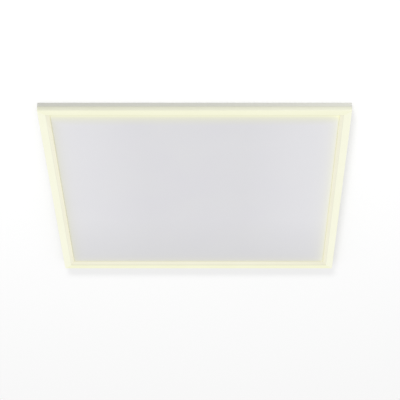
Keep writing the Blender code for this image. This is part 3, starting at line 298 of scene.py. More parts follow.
zinc("galvanised", 150.0, light=(0.69, 0.70, 0.71), dark=(0.51, 0.52, 0.535), gloss=(0.50, 0.33), dust=0.22)
zinc("zinc_plate", 420.0, light=(0.74, 0.74, 0.72), dark=(0.62, 0.62, 0.60), gloss=(0.36, 0.24), dust=0.1)
print("zinc finishes ready")

# %% [markdown]
# Drawn spring wire and turned brass are plain metals with fine marks and a little tarnish. On pieces this
# thin an even grain looks like such marks, so they take the coats' recipe with a finer grain.

# %% wire and brass
DRAWN = {"grain_scale": 2400, "relief": 0.00003, "strength": 0.3, "metallic": 1.0}

coat("spring_steel", (0.56, 0.56, 0.57), (0.40, 0.40, 0.42), (0.22, 0.36), patch_scale=180, **DRAWN)
coat("brass", (0.80, 0.62, 0.32), (0.62, 0.45, 0.22), (0.25, 0.42), patch_scale=120, **DRAWN)
print("drawn metals ready")

# %% [markdown]
# The heating plate is powder coated steel: a very pale grey with a cold tinge and a fine, even texture.
# Painted light makes the coat a shade lighter towards the left and right, and painted shade makes it a
# shade darker towards the far side. Along the border a warm painted glow stands for the light of the lit
# frame, widest on the near side. On all sides but the left the frame's light also spills onto it, painted
# as a faint emission that fades out from those edges. A painted picture could carry all this, but distances
# from object coordinates stay smooth at any size of render.

# %% plate coat
BLACK = (0, 0, 0, 1)
PANEL_HALF = cad_box[1].x
PLATE_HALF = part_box("radiant_plate")[1].x
# Colours and shares of the painted light towards the left and right and the painted shade towards the far side.
PLATE_PAINTED_LIGHT = (0.822, 0.819, 0.848, 1)
PLATE_PAINTED_SHADE = (0.677, 0.677, 0.688, 1)
SHADE_START = 0.10
PAINTED_LIGHT_LEFT = 0.80
PAINTED_LIGHT_RIGHT = 1.0
PAINTED_SHADE_FAR = 0.6
# A warm painted glow along the plate's border stands for the light of the lit frame.
PAINTED_GLOW_COLOUR = (0.750, 0.748, 0.600, 1)
PAINTED_GLOW_REACH = 0.010
PAINTED_GLOW_NEAR = 0.88
PAINTED_GLOW_NEAR_REACH = 0.034
PAINTED_GLOW_LEFT = 0.78
PAINTED_GLOW_RIGHT = 0.41
PAINTED_GLOW_FAR = 0.53
SPILL_COLOUR = (1.0, 1.0, 0.34, 1)
SPILL_REACH = 0.009
SPILL_NEAR = 0.21
SPILL_RIGHT = 0.14
SPILL_FAR = 0.07


def faded_from_edge(tree, towards_edge, strength, reach):
    """A value that fades out exponentially with the distance from one edge of the plate."""
    inward = sums(tree, "SUBTRACT", PLATE_HALF, towards_edge)
    faded = sums(tree, "POWER", math.e, sums(tree, "DIVIDE", inward, -reach))
    return sums(tree, "MULTIPLY", faded, strength)


tree, shader, grey = coat(
    "plate_coat", (0.750, 0.748, 0.770), (0.742, 0.737, 0.771), (0.46, 0.56),
    grain_scale=650, patch_scale=9, relief=0.00012, strength=0.4, emission_strength=1.0,
)[:3]
split = put(tree, "SeparateXYZ", {"Vector": object_place(tree)})
rightward = split.outputs["X"]
farward = split.outputs["Y"]
leftward = sums(tree, "MULTIPLY", rightward, -1.0)
nearward = sums(tree, "MULTIPLY", farward, -1.0)
# Painted light: the coat turns lighter towards the left and right edges. Painted shade: darker towards the far
# side.
painted_light_left = ranged(tree, leftward, SHADE_START, PLATE_HALF, 0.0, PAINTED_LIGHT_LEFT)
painted_light_right = ranged(tree, rightward, SHADE_START, PLATE_HALF, 0.0, PAINTED_LIGHT_RIGHT)
grey = mixed(tree, sums(tree, "MAXIMUM", painted_light_left, painted_light_right), grey, PLATE_PAINTED_LIGHT)
grey = mixed(tree, ranged(tree, farward, SHADE_START, PLATE_HALF, 0.0, PAINTED_SHADE_FAR), grey, PLATE_PAINTED_SHADE)
# Painted light: the warm glow of the lit frame along the border, widest on the near side, goes into the base
# colour.
painted_glow = ranged(tree, nearward, PLATE_HALF - PAINTED_GLOW_NEAR_REACH, PLATE_HALF, 0.0, PAINTED_GLOW_NEAR)
for towards_edge, strength in ((leftward, PAINTED_GLOW_LEFT), (rightward, PAINTED_GLOW_RIGHT), (farward, PAINTED_GLOW_FAR)):
    painted_glow = sums(tree, "MAXIMUM", painted_glow, faded_from_edge(tree, towards_edge, strength, PAINTED_GLOW_REACH))
# Painted light: the frame's spill onto the plate, written as a faint emission.
spilled = faded_from_edge(tree, nearward, SPILL_NEAR, SPILL_REACH)
for towards_edge, strength in ((rightward, SPILL_RIGHT), (farward, SPILL_FAR)):
    spilled = sums(tree, "ADD", spilled, faded_from_edge(tree, towards_edge, strength, SPILL_REACH))
glow = mixed(tree, spilled, BLACK, SPILL_COLOUR)
feed(tree, shader, base_color=mixed(tree, painted_glow, grey, PAINTED_GLOW_COLOUR), emission_color=glow)
print("coat for a plate of", round(2 * PLATE_HALF, 4), "m")

# %% [markdown]
# The diffusers are opal plastic with LEDs behind them. Lamps behind a translucent shader would be slow and
# noisy, so the light is written as emission. The flat face is evenly lit, the inner slope a little less and
# a shade warmer, and on the outer wall the light falls off upwards, away from the LEDs' beam. The fold
# between face and slope shows as a thin duller line. The wall, and the whole of the left and right bars,
# give a slightly whiter light. Height, and distance inward from the outer wall, tell these apart.

# %% opal
FACE_LEVEL = cad_box[0].z
WALL_TOP = -0.0088
WALL_EDGE = 0.0012
FOLD_INWARD = 0.0150
FOLD_REACH = 0.0013
MITRE_BLUR = 0.002
OPAL_GLOW = 0.46
LIT_FACE = 0.90
LIT_FACE_SIDE = 0.945
LIT_SLOPE = 0.82
LIT_FOLD = 0.50
LIT_FOLD_SIDE = 0.75
LIT_WALL_LOW = 0.85
LIT_WALL_HIGH = 0.48
LIGHT_NEAR = (1.0, 1.0, 0.60, 1)
LIGHT_FAR = (1.0, 1.0, 0.53, 1)
LIGHT_SIDE = (1.0, 1.0, 0.70, 1)
LIGHT_WALL = (1.0, 1.0, 0.66, 1)
LIGHT_SLOPE = (1.0, 0.95, 0.64, 1)

tree, shader = coat(
    "opal", (0.50, 0.50, 0.455), (0.49, 0.49, 0.44), (0.34, 0.44),
    grain_scale=1500, patch_scale=18, relief=0.00003, strength=0.2, emission_strength=OPAL_GLOW,
)[:2]
split = put(tree, "SeparateXYZ", {"Vector": object_place(tree)})
along_x = sums(tree, "ABSOLUTE", split.outputs["X"])
along_y = sums(tree, "ABSOLUTE", split.outputs["Y"])
inward = sums(tree, "SUBTRACT", PANEL_HALF, sums(tree, "MAXIMUM", along_x, along_y))
on_sides = ranged(tree, sums(tree, "SUBTRACT", along_x, along_y), -MITRE_BLUR, MITRE_BLUR, 0.0, 1.0)
on_slope = ranged(tree, inward, FOLD_INWARD, FOLD_INWARD + FOLD_REACH, 0.0, 1.0)
on_wall = ranged(tree, inward, 0.0, WALL_EDGE, 1.0, 0.0)

lit = between(tree, on_slope, between(tree, on_sides, LIT_FACE, LIT_FACE_SIDE), LIT_SLOPE)
off_fold = sums(tree, "ABSOLUTE", sums(tree, "SUBTRACT", inward, FOLD_INWARD))
away = ranged(tree, off_fold, 0.0, FOLD_REACH, 0.0, 1.0)
fold = between(tree, away, between(tree, on_sides, LIT_FOLD, LIT_FOLD_SIDE), 1.0)
lit_wall = ranged(tree, split.outputs["Z"], FACE_LEVEL, WALL_TOP, LIT_WALL_LOW, LIT_WALL_HIGH)
lit = between(tree, on_wall, sums(tree, "MULTIPLY", lit, fold), lit_wall)

towards_far = ranged(tree, split.outputs["Y"], -PANEL_HALF, PANEL_HALF, 0.0, 1.0)
light = mixed(tree, towards_far, LIGHT_NEAR, LIGHT_FAR)
for share, shade in ((on_sides, LIGHT_SIDE), (on_wall, LIGHT_WALL), (on_slope, LIGHT_SLOPE)):
    light = mixed(tree, share, light, shade)
feed(tree, shader, emission_color=mixed(tree, lit, BLACK, light))
print("opal with its face at", round(FACE_LEVEL, 4), "m")

# %% [markdown]
# Inside the panel, out of sight until it is taken apart, are the LED boards and the receiver's circuit
# board. Each is one solid with its fittings, so height tells the fittings from the board.

# %% boards
LED_BOARD_UNDERSIDE = -0.00455
RECEIVER_BOARD_TOP = 0.0340


def two_level(name, level, below, above, gloss):
    """A finish whose colour changes at one height, with grain and patches over both."""
    tree, shader, low, patches = coat(
        name, *below, gloss, grain_scale=900, patch_scale=90, relief=0.00005, strength=0.3
    )
    high = mixed(tree, patches, (*above[0], 1), (*above[1], 1))
    height = put(tree, "SeparateXYZ", {"Vector": object_place(tree)}).outputs["Z"]
    feed(tree, shader, base_color=mixed(tree, sums(tree, "GREATER_THAN", height, level), low, high))


two_level(
    "led_board", LED_BOARD_UNDERSIDE, below=((0.85, 0.72, 0.25), (0.80, 0.66, 0.20)),
    above=((0.86, 0.86, 0.83), (0.80, 0.80, 0.77)), gloss=(0.35, 0.5),
)
two_level(
    "circuit_board", RECEIVER_BOARD_TOP, below=((0.03, 0.20, 0.09), (0.05, 0.27, 0.12)),
    above=((0.03, 0.05, 0.11), (0.04, 0.06, 0.13)), gloss=(0.3, 0.5),
)
print("board finishes ready")

# %% [markdown]
# The heating laminate is a film with printed strips of carbon, which the bands of a wave texture give. The
# mineral wool over it is noise drawn out along one axis, as fibres lie.

# %% laminate and wool
STRIP_SCALE = 12.0
STRIP_GAP = 0.35
FILM_COLOUR = (0.30, 0.20, 0.09, 1)
CARBON_COLOUR = (0.035, 0.033, 0.032, 1)
FIBRE_STRETCH = (1.0, 6.0, 14.0)
WOOL_DARK = (0.50, 0.42, 0.27, 1)
WOOL_LIGHT = (0.74, 0.67, 0.50, 1)

tree, shader = new_finish("laminate")
bands = put(tree, "TexWave", {"Vector": object_place(tree), "Scale": STRIP_SCALE, "Distortion": 0.0})
strip = sums(tree, "GREATER_THAN", bands.outputs["Fac"], STRIP_GAP)
film_or_carbon = mixed(tree, strip, FILM_COLOUR, CARBON_COLOUR)
feed(tree, shader, base_color=film_or_carbon, roughness=between(tree, strip, 0.35, 0.6))

tree, shader = new_finish("mineral_wool")
drawn_out = put(tree, "Mapping", {"Vector": object_place(tree), "Scale": FIBRE_STRETCH}).outputs[0]
noise = {"Vector": drawn_out, "Scale": 160.0, "Detail": 6.0, "Roughness": 0.7}
fibres = put(tree, "TexNoise", noise).outputs["Fac"]
rough = ranged(tree, fibres, 0.3, 0.7, 0.85, 1.0)
bump = bumped(tree, fibres, strength=0.8, distance=0.001)
feed(tree, shader, base_color=mixed(tree, fibres, WOOL_DARK, WOOL_LIGHT), roughness=rough, normal=bump)
print(len(finishes), "finishes ready")

# %% [markdown]
# Each solid piece takes the finish with the name of its record slot, in the material slot that its object
# already has. The record says which slot that is, so no list of pieces is needed here.

# %% finishes on the solid pieces
slot_of = {part["node"]: part["material_slot"] for part in frame["record"]["subparts"]}
for name, thing in nodes.items():
    thing.material_slots[0].material = finishes[slot_of[name]]
print(len(slot_of), "pieces finished")

# %% [markdown]
# The fine pieces are modelled as by hand: a primitive is added, shaped in edit mode, and finished with
# modifiers. Faces and edges are chosen in code, by where they lie, so a few short helpers do the choosing.
# What repeats is shaped once at the origin and then copied, and each copy has its own mesh in its place.

# %% modelling helpers
def leave_edit_mode():
    if bpy.context.mode == "EDIT_MESH":
        bpy.ops.object.mode_set(mode="OBJECT")


def begin(add, **settings):
    """Adds one primitive with nothing else selected, and opens it in edit mode in its real place."""
    leave_edit_mode()
    bpy.ops.object.select_all(action="DESELECT")
    add(**settings)
    bpy.ops.object.transform_apply(location=True, rotation=True, scale=True)
    bpy.ops.object.mode_set(mode="EDIT")
    return bpy.context.object


def pick(kind, wanted):
    """Selects only the faces, or the edges, for which wanted is true."""
    bpy.ops.mesh.select_mode(type=kind)
    bpy.ops.mesh.select_all(action="DESELECT")
    mesh = bpy.context.object.data
    shape = bmesh.from_edit_mesh(mesh)
    for element in shape.faces if kind == "FACE" else shape.edges:
        if wanted(element):
            element.select_set(True)
    bmesh.update_edit_mesh(mesh)


def pick_cap(way):
    """Selects only the flat cap that looks up, for a way of 1, or down, for a way of -1."""
    pick("FACE", lambda face: face.normal.z * way > 0.99)


def pick_all():
    bpy.ops.mesh.select_all(action="SELECT")


def face_outwards():
    pick_all()
    bpy.ops.mesh.normals_make_consistent(inside=False)


def apply_modifier(thing, kind, **settings):
    modifier = thing.modifiers.new(kind.lower(), kind)
    for name, value in settings.items():
        setattr(modifier, name, value)
    bpy.context.view_layer.objects.active = thing
    bpy.ops.object.modifier_apply(modifier=modifier.name)


def cut_away(thing, cutter):
    leave_edit_mode()
    apply_modifier(thing, "BOOLEAN", operation="DIFFERENCE", object=cutter)
    bpy.data.objects.remove(cutter)


def select_only(thing):
    bpy.ops.object.select_all(action="DESELECT")
    thing.select_set(True)
    bpy.context.view_layer.objects.active = thing


def smoothed(thing, angle=35):
    """Back in object mode, shades the rounded faces smooth and keeps the sharp edges."""
    leave_edit_mode()
    select_only(thing)
    bpy.ops.object.shade_smooth_by_angle(angle=math.radians(angle))
    return thing


def dressed(thing, name, slot, body=None, finish=None):
    """Names a piece, gives it the finish of its slot or another, and sets it on its body."""
    thing.name = name
    thing.data.name = name
    thing.data.materials.clear()
    thing.data.materials.append(finishes[finish or slot])
    if body:
        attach(thing, body)
    return thing


def copied_to(pattern, places, slot, body=None, finish=None):
    """Copies a pattern to each named place, which is a matrix, and returns the copies by name."""
    copies = {}
    for name, place in places.items():
        mesh = pattern.data.copy()
        mesh.transform(place)
        copies[name] = bpy.data.objects.new(name, mesh)
        bpy.context.scene.collection.objects.link(copies[name])
        dressed(copies[name], name, slot, body, finish)
    print("copies:", len(copies), "such as", name)
    return copies


def pointing(place, direction):
    """The matrix that sets a pattern made along +Z at a place, pointing in a direction."""
    turn = Vector(direction).to_track_quat("Z", "Y").to_matrix().to_4x4()
    return Matrix.Translation(place) @ turn


def middle(node):
    """The middle of a solid piece's box."""
    low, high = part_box(node)
    return (low + high) / 2


def sizes_of(thing):
    return [round(side, 4) for side in thing.dimensions]


print("modelling helpers ready")

# %% [markdown]
# Pan head screws hold the tray's flange to the rails, the two bases to the tray, and the lid shut. A pan
# head is a short cylinder with a broadly rounded rim. Two tapered bars, crossed and cut away, leave the
# recess for the driver. The heads sink a tenth of a millimetre into the sheet, so that no gap shows.

# %% pan head
SUNK = 0.0001
SCREW_RADIUS = 0.0024
SCREW_HEIGHT = 0.0016
SCREW_ROUND = 0.0011
RECESS_LENGTH = 0.0026
RECESS_WIDTH = 0.00075
RECESS_DEPTH = 0.0010
RECESS_TAPER = 0.55


def screw_blank(radius, height, rim, segments):
    """A short cylinder that stands on the sheet, with its upper rim rounded."""
    blank = begin(
        bpy.ops.mesh.primitive_cylinder_add, vertices=32, radius=radius, depth=height,
        location=(0, 0, height / 2 - SUNK),
    )
    pick("EDGE", lambda edge: min(point.co.z for point in edge.verts) > height / 2)
    bpy.ops.mesh.bevel(offset=rim, segments=segments, affect="EDGES")
    return blank


def recess_bar(length, width, depth, top, taper):
    """A bar that cuts a recess into a head: narrower at its floor than at the top."""
    bar = begin(
        bpy.ops.mesh.primitive_cube_add, size=1, scale=(length, width, 2 * depth), location=(0, 0, top)
    )
    pick_cap(-1)
    bpy.ops.transform.resize(value=(taper, taper, 1))
    leave_edit_mode()
    return bar


pan_head = screw_blank(SCREW_RADIUS, SCREW_HEIGHT, SCREW_ROUND, segments=5)
for length, width in ((RECESS_LENGTH, RECESS_WIDTH), (RECESS_WIDTH, RECESS_LENGTH)):
    cut_away(pan_head, recess_bar(length, width, RECESS_DEPTH, SCREW_HEIGHT - SUNK, RECESS_TAPER))
smoothed(pan_head)
print("pan head", sizes_of(pan_head))

# %% [markdown]
# The screws go along the middle of the tray's flange, on the ears of the two bases, and in the lid's front
# lip. The recesses of a row stand at different angles, as driven screws do.

# %% pan head screws
FLANGE_DROP = 0.0003
SCREW_FROM_EDGE = 0.006
SCREWS_ALONG = (-0.24, -0.08, 0.0, 0.08, 0.24)
SCREW_TURN = math.radians(37)
EAR_HALF = 0.005
LIP_HALF = 0.0026

flange_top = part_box("frame_rail_near")[1].z - FLANGE_DROP
flange_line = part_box("back_tray")[1].x - SCREW_FROM_EDGE
places = {}
for side, (x, y) in {"near": (0, -1), "right": (1, 0), "far": (0, 1), "left": (-1, 0)}.items():
    for number, along in enumerate(SCREWS_ALONG, 1):
        spot = (x * flange_line - y * along, y * flange_line + x * along, flange_top)
        turned = Matrix.Rotation(number * SCREW_TURN, 4, "Z")
        places[f"tray_screw_{side}_{number}"] = Matrix.Translation(spot) @ turned
for base in ("receiver_base", "driver_base"):
    low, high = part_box(base)
    for end, x in (("left", low.x + EAR_HALF), ("right", high.x - EAR_HALF)):
        places[f"{base}_screw_{end}"] = Matrix.Translation((x, middle(base).y, high.z))
copied_to(pan_head, places, "galvanised", "housing", "zinc_plate")

lid_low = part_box("junction_box_lid")[0]
lip_middle = (middle("junction_box_lid").x, lid_low.y, lid_low.z + LIP_HALF)
places = {"lid_screw": pointing(lip_middle, (0, -1, 0))}
copied_to(pan_head, places, "galvanised", "box_lid", "zinc_plate")
bpy.data.objects.remove(pan_head)

# %% [markdown]
# Each terminal has a clamping screw in its well: a flat cylinder with a narrow bevel and one straight slot.
# The slot runs out through the rim, so one long bar cuts it, where an inset could not.

# %% terminal screws
CLAMP_RADIUS = 0.0021
CLAMP_HEIGHT = 0.0018
CLAMP_RIM = 0.0003
CLAMP_SLOT = 0.0007
WELL_DEPTH = 0.0085
SLOT_TURNS = (-25, 25, 75)

clamp = screw_blank(CLAMP_RADIUS, CLAMP_HEIGHT, CLAMP_RIM, segments=2)
cut_away(clamp, recess_bar(3 * CLAMP_RADIUS, CLAMP_SLOT, CLAMP_HEIGHT / 2, CLAMP_HEIGHT, 1.0))
smoothed(clamp)
low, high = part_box("terminal_block")
quarter = (high.x - low.x) / 4
pitch = (high.y - low.y) / len(SLOT_TURNS)
places = {}
for number, turn in enumerate(SLOT_TURNS, 1):
    turned = Matrix.Rotation(math.radians(turn), 4, "Z")
    for end, x in (("left", low.x + quarter), ("right", high.x - quarter)):
        spot = (x, low.y + (number - 0.5) * pitch, high.z - WELL_DEPTH)
        places[f"terminal_screw_{end}_{number}"] = Matrix.Translation(spot) @ turned
copied_to(clamp, places, "brass", "housing")
bpy.data.objects.remove(clamp)

# %% [markdown]
# The clips' brackets are riveted to the tray. A rivet's head is a low dome: half a sphere, cut off at its
# middle with the cut filled, then flattened. The joints of the model tell where the clips are.

# %% rivets
RIVET_RADIUS = 0.0019
RIVET_FLATTEN = 0.6
RIVET_SPACING = 0.0035
RIVET_FROM_FOOT = 0.004
BRACKET_SHEET = 0.0012

clips = [f"{side}_{depth}" for side in ("right", "left") for depth in ("near", "far")]
joint_of = {joint["child"]: joint for joint in frame["joints"]}
pins = {clip: Vector(joint_of["clip_" + clip]["pos_m"]) for clip in clips}
ways = {clip: math.copysign(1, pin.x) for clip, pin in pins.items()}

rivet = begin(bpy.ops.mesh.primitive_uv_sphere_add, segments=28, ring_count=16, radius=RIVET_RADIUS)
pick_all()
bpy.ops.mesh.bisect(plane_co=(0, 0, -SUNK), plane_no=(0, 0, 1), use_fill=True, clear_inner=True)
pick_all()
bpy.ops.transform.resize(value=(1, 1, RIVET_FLATTEN), center_override=(0, 0, 0))
smoothed(rivet)
bracket_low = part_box("clip_bracket_right_near")[0]
places = {}
for clip, pin in pins.items():
    for number, across in ((1, -RIVET_SPACING), (2, RIVET_SPACING)):
        face = ways[clip] * (bracket_low.x + BRACKET_SHEET)
        spot = (face, pin.y + across, bracket_low.z + RIVET_FROM_FOOT)
        places[f"rivet_{clip}_{number}"] = pointing(spot, (ways[clip], 0, 0))
copied_to(rivet, places, "galvanised", "housing", "zinc_plate")
bpy.data.objects.remove(rivet)

# %% [markdown]
# The clip springs are torsion springs: a coil round the pin, one leg braced on the bracket and one under
# the arm. Wire is easiest as a curve with a round bevel, turned into a mesh.

# %% spring wire
COIL_RADIUS = 0.0023
WIRE_RADIUS = 0.00045
COIL_PITCH = 0.0014
COIL_START = math.radians(230)
COIL_SWEEP = 5 * math.tau + math.radians(40)
COIL_STEPS = 140
HALF_COIL = COIL_SWEEP / math.tau * COIL_PITCH / 2
BRACE_REACH = 0.00575
ARM_LEG = 0.011
LEG_STEPS = 6
MERGE_WITHIN = 1e-6


def coil_points():
    """Points along the wire round an axis along Y: braced leg, coil, then the leg under the arm."""
    curls = []
    for step in range(COIL_STEPS + 1):
        angle = COIL_START + COIL_SWEEP * step / COIL_STEPS
        y = HALF_COIL * (2 * step / COIL_STEPS - 1)
        curls.append(Vector((COIL_RADIUS * math.cos(angle), y, COIL_RADIUS * math.sin(angle))))
    back = Vector((math.sin(COIL_START), 0, -math.cos(COIL_START)))
    brace = curls[0] - back * ((BRACE_REACH + curls[0].x) / back.x)
    hook = curls[-1] + Vector((ARM_LEG, 0, 0))
    first = [brace.lerp(curls[0], step / LEG_STEPS) for step in range(LEG_STEPS)]
    last = [curls[-1].lerp(hook, (step + 1) / LEG_STEPS) for step in range(LEG_STEPS)]
    return first + curls + last


def tube(wire, radius, roundness):
    """Gives a curve a round section with closed ends, and turns it into a smooth mesh."""
    wire.data.bevel_depth = radius
    wire.data.bevel_resolution = roundness
    wire.data.use_fill_caps = True
    select_only(wire)
    bpy.ops.object.convert(target="MESH")
    bpy.ops.object.mode_set(mode="EDIT")
    pick_all()
    bpy.ops.mesh.remove_doubles(threshold=MERGE_WITHIN)
    face_outwards()
    return smoothed(bpy.context.object, 60)


curve = bpy.data.curves.new("spring_wire", "CURVE")
curve.dimensions = "3D"
spline = curve.splines.new("POLY")
points = coil_points()
spline.points.add(len(points) - 1)
for knot, point in zip(spline.points, points):
    knot.co = (*point, 1)
wire = bpy.data.objects.new("spring_wire", curve)
bpy.context.scene.collection.objects.link(wire)
spring_wire = tube(wire, WIRE_RADIUS, roundness=4)
print("spring of", round(COIL_SWEEP / math.tau, 2), "turns", sizes_of(spring_wire))

# %% [markdown]
# The left clips are the right ones turned half round, and so are their springs. Each spring is set in its
# place, and the solid spring piece that it stands for is hidden.

# %% clip springs
BLEND_SHARE = 0.86

places = {}
for clip, pin in pins.items():
    places["spring_" + clip] = Matrix.Translation(pin) @ Matrix.Diagonal((ways[clip], ways[clip], 1, 1))
springs = copied_to(spring_wire, places, "spring_steel")
bpy.data.objects.remove(spring_wire)
for clip, pin in pins.items():
    spring = springs["spring_" + clip]
    along = Vector((0, ways[clip] * HALF_COIL * BLEND_SHARE, 0))
    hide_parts("clip_spring_" + clip)
    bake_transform(spring)

# %% [markdown]
# Four round leads run between the boxes and down through the two grommets. Each hangs a little between its
# ends. A curve with a few control points and automatic handles bends as evenly as a real sheath does.

# %% leads
LEAD_RADIUS = 0.0020
LEAD_LEVEL = 0.0363
LEAD_STEPS = 14
FIT = 0.0003
INTO_BOX = 0.003
STRAIGHT = 0.007
SAG = 0.002
ASIDE = 0.001
BEND_FROM = 0.010
BEND = ((0.0067, 0.0010), (0.0013, 0.0046))

boxes_line = middle("receiver_cover").y
box_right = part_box("junction_box")[1].x
receiver_low, receiver_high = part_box("receiver_cover")
receiver_middle = middle("receiver_cover").x
driver_low, driver_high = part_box("driver_cover")


def hung(start, end, way):
    """Between two boxes along X: straight out of both, with a little sag and a bow to one side."""
    return [
        (start, boxes_line, LEAD_LEVEL),
        (start + STRAIGHT, boxes_line, LEAD_LEVEL),
        ((start + end) / 2, boxes_line + way * ASIDE, LEAD_LEVEL - SAG),
        (end - STRAIGHT, boxes_line, LEAD_LEVEL),
        (end, boxes_line, LEAD_LEVEL),
    ]


def dropped(start, way, grommet):
    """Out of a box, round a bend of (distance before the grommet, drop) points, and down into it."""
    x, y = way
    over = middle(grommet)
    low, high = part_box(grommet)
    steps = [(back, LEAD_LEVEL - drop) for back, drop in BEND] + [(0, high.z + FIT), (0, low.z)]
    route = [(*start, LEAD_LEVEL), (start[0] + BEND_FROM * x, start[1] + BEND_FROM * y, LEAD_LEVEL)]
    return route + [(over.x - back * x, over.y - back * y, level) for back, level in steps]


terminals_end = (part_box("terminal_block")[1].x + FIT, boxes_line, LEAD_LEVEL)
routes = {
    "mains_lead": [terminals_end, *hung(box_right - INTO_BOX, receiver_low.x + INTO_BOX, -1)],
    "driver_lead": hung(receiver_high.x - INTO_BOX, driver_low.x + INTO_BOX, 1),
    "heater_lead": dropped((receiver_middle, receiver_low.y + INTO_BOX), (0, -1), "heater_grommet"),
    "led_lead": dropped((driver_high.x - INTO_BOX, boxes_line), (1, 0), "led_grommet"),
}
for name, route in routes.items():
    bpy.ops.curve.primitive_bezier_curve_add()
    wire = bpy.context.object
    wire.data.dimensions = "3D"
    wire.data.resolution_u = LEAD_STEPS
    knots = wire.data.splines[0].bezier_points
    knots.add(len(route) - len(knots))
    for knot, point in zip(knots, route):
        knot.co = point
        knot.handle_left_type = "AUTO"
        knot.handle_right_type = "AUTO"
    lead = tube(wire, LEAD_RADIUS, roundness=8)
    dressed(lead, "sheathed_" + name, "lead_sheath", "housing")
    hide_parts(name)
print(len(routes), "leads")

# %% [markdown]
# A rubber bush sits round the lead at each wall that it goes through. It is a short cylinder, narrowed at
# its outer end. Its two caps are inset and deleted, and bridging the two rims left makes the hole. A
# boolean would do too, but this keeps the faces in even strips.

# %% lead bushes
BUSH_RADIUS = 0.0037
BUSH_LENGTH = 0.0026
BUSH_TAPER = 0.78
BUSH_GRIP = 0.00005
BUSH_HOLE = LEAD_RADIUS - BUSH_GRIP
BUSH_ROUND = 0.0004


def bored(top_inset, low_inset, within):
    """Opens a hole along Z. The rims to bridge lie within a distance of the axis."""
    for way, inset in ((1, top_inset), (-1, low_inset)):
        pick_cap(way)
        bpy.ops.mesh.inset(thickness=inset)
        bpy.ops.mesh.delete(type="FACE")
    pick("EDGE", lambda edge: max(point.co.xy.length for point in edge.verts) < within)
    bpy.ops.mesh.bridge_edge_loops()
    face_outwards()


def rounded_edges(thing, width, segments, angle):
    """Bevels the edges that are sharper than an angle in degrees."""
    leave_edit_mode()
    limit = math.radians(angle)
    apply_modifier(thing, "BEVEL", width=width, segments=segments, limit_method="ANGLE", angle_limit=limit)


def at_wall(x, way):
    return pointing((x, boxes_line, LEAD_LEVEL), (way, 0, 0))


bush = begin(
    bpy.ops.mesh.primitive_cylinder_add, vertices=32, radius=BUSH_RADIUS, depth=BUSH_LENGTH,
    location=(0, 0, BUSH_LENGTH / 2 - SUNK),
)
pick_cap(1)
bpy.ops.transform.resize(value=(BUSH_TAPER, BUSH_TAPER, 1))
bored(BUSH_RADIUS * BUSH_TAPER - BUSH_HOLE, BUSH_RADIUS - BUSH_HOLE, within=1.1 * BUSH_HOLE)
rounded_edges(bush, BUSH_ROUND, segments=3, angle=50)
smoothed(bush)
places = {
    "bush_box": at_wall(box_right, 1),
    "bush_receiver_left": at_wall(receiver_low.x, -1),
    "bush_receiver_right": at_wall(receiver_high.x, 1),
    "bush_receiver_near": pointing((receiver_middle, receiver_low.y, LEAD_LEVEL), (0, -1, 0)),
    "bush_driver_left": at_wall(driver_low.x, -1),
    "bush_driver_right": at_wall(driver_high.x, 1),
}
copied_to(bush, places, "rubber", "housing")
bpy.data.objects.remove(bush)

# %% [markdown]
# The cable gland, the grommets and the push button are turned pieces. A circle gives a closed loop of
# points, which are moved to the outline of half a section and then spun round the axis, as on a lathe.

# %% turned pieces
TURN_STEPS = 64
DEGENERATE = 1e-7


def turned_piece(outline):
    """Spins a closed outline of (distance from the axis, height) points round the Z axis."""
    piece = begin(bpy.ops.mesh.primitive_circle_add, vertices=len(outline), radius=1)
    shape = bmesh.from_edit_mesh(piece.data)
    for point, (radius, height) in zip(shape.verts, outline):
        point.co = (radius, 0, height)
    bmesh.update_edit_mesh(piece.data)
    pick_all()
    bpy.ops.mesh.spin(steps=TURN_STEPS, angle=math.tau, center=(0, 0, 0), axis=(0, 0, 1))
    pick_all()
    bpy.ops.mesh.remove_doubles(threshold=MERGE_WITHIN)
    bpy.ops.mesh.dissolve_degenerate(threshold=DEGENERATE)
    face_outwards()
    leave_edit_mode()
    return piece


def arc(centre, radius, start, end, steps=8):
    """Points of a circular arc in an outline, between two angles in degrees."""
    angles = [math.radians(start + (end - start) * step / steps) for step in range(steps + 1)]
    return [(centre[0] + radius * math.cos(a), centre[1] + radius * math.sin(a)) for a in angles]


def foot(node):
    """The middle of the underside of a solid piece's box."""
    low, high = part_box(node)
    return Vector(((low.x + high.x) / 2, (low.y + high.y) / 2, low.z))


print("ready to turn pieces in", TURN_STEPS, "steps")

# %% [markdown]
# A grommet lines each hole in the tray where a lead goes through, so that the sheet's edge cannot cut it.
# Its barrel stands in the hole, and its brim, rounded all round, lies on the sheet.

# %% grommets
GROMMET_BORE = 0.0024
GROMMET_BARREL = 0.0040
GROMMET_BRIM = 0.0060
GROMMET_LIFT = 0.0020
TRAY_SHEET = 0.0010

brim_round = GROMMET_LIFT / 2
grommet = turned_piece([
    (GROMMET_BORE, -TRAY_SHEET), (GROMMET_BARREL, -TRAY_SHEET), (GROMMET_BARREL, FIT),
    *arc((GROMMET_BRIM - brim_round, FIT + brim_round), brim_round, -90, 90),
    *arc((GROMMET_BORE + brim_round, FIT + brim_round), brim_round, 90, 180),
])
smoothed(grommet)
print("grommet", sizes_of(grommet))
on_sheet = Vector((0, 0, TRAY_SHEET))
places = {
    lead + "_bush_ring": Matrix.Translation(foot(lead + "_grommet") + on_sheet)
    for lead in ("heater", "led")
}
rings = copied_to(grommet, places, "rubber", "housing")
bpy.data.objects.remove(grommet)
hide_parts("heater_grommet")
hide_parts("led_grommet")

# %% [markdown]
# The push button has a brim that keeps it in its hole, a rounded rim, and a slightly dished top for a
# fingertip. All of it is round, so one outline makes it.

# %% push button
BUTTON_RADIUS = 0.0030
BUTTON_BRIM = 0.0042
BRIM_HEIGHT = 0.0010
BUTTON_ROUND = 0.0006
BUTTON_DISH = 0.0002
DISH_HALFWAY = 0.7

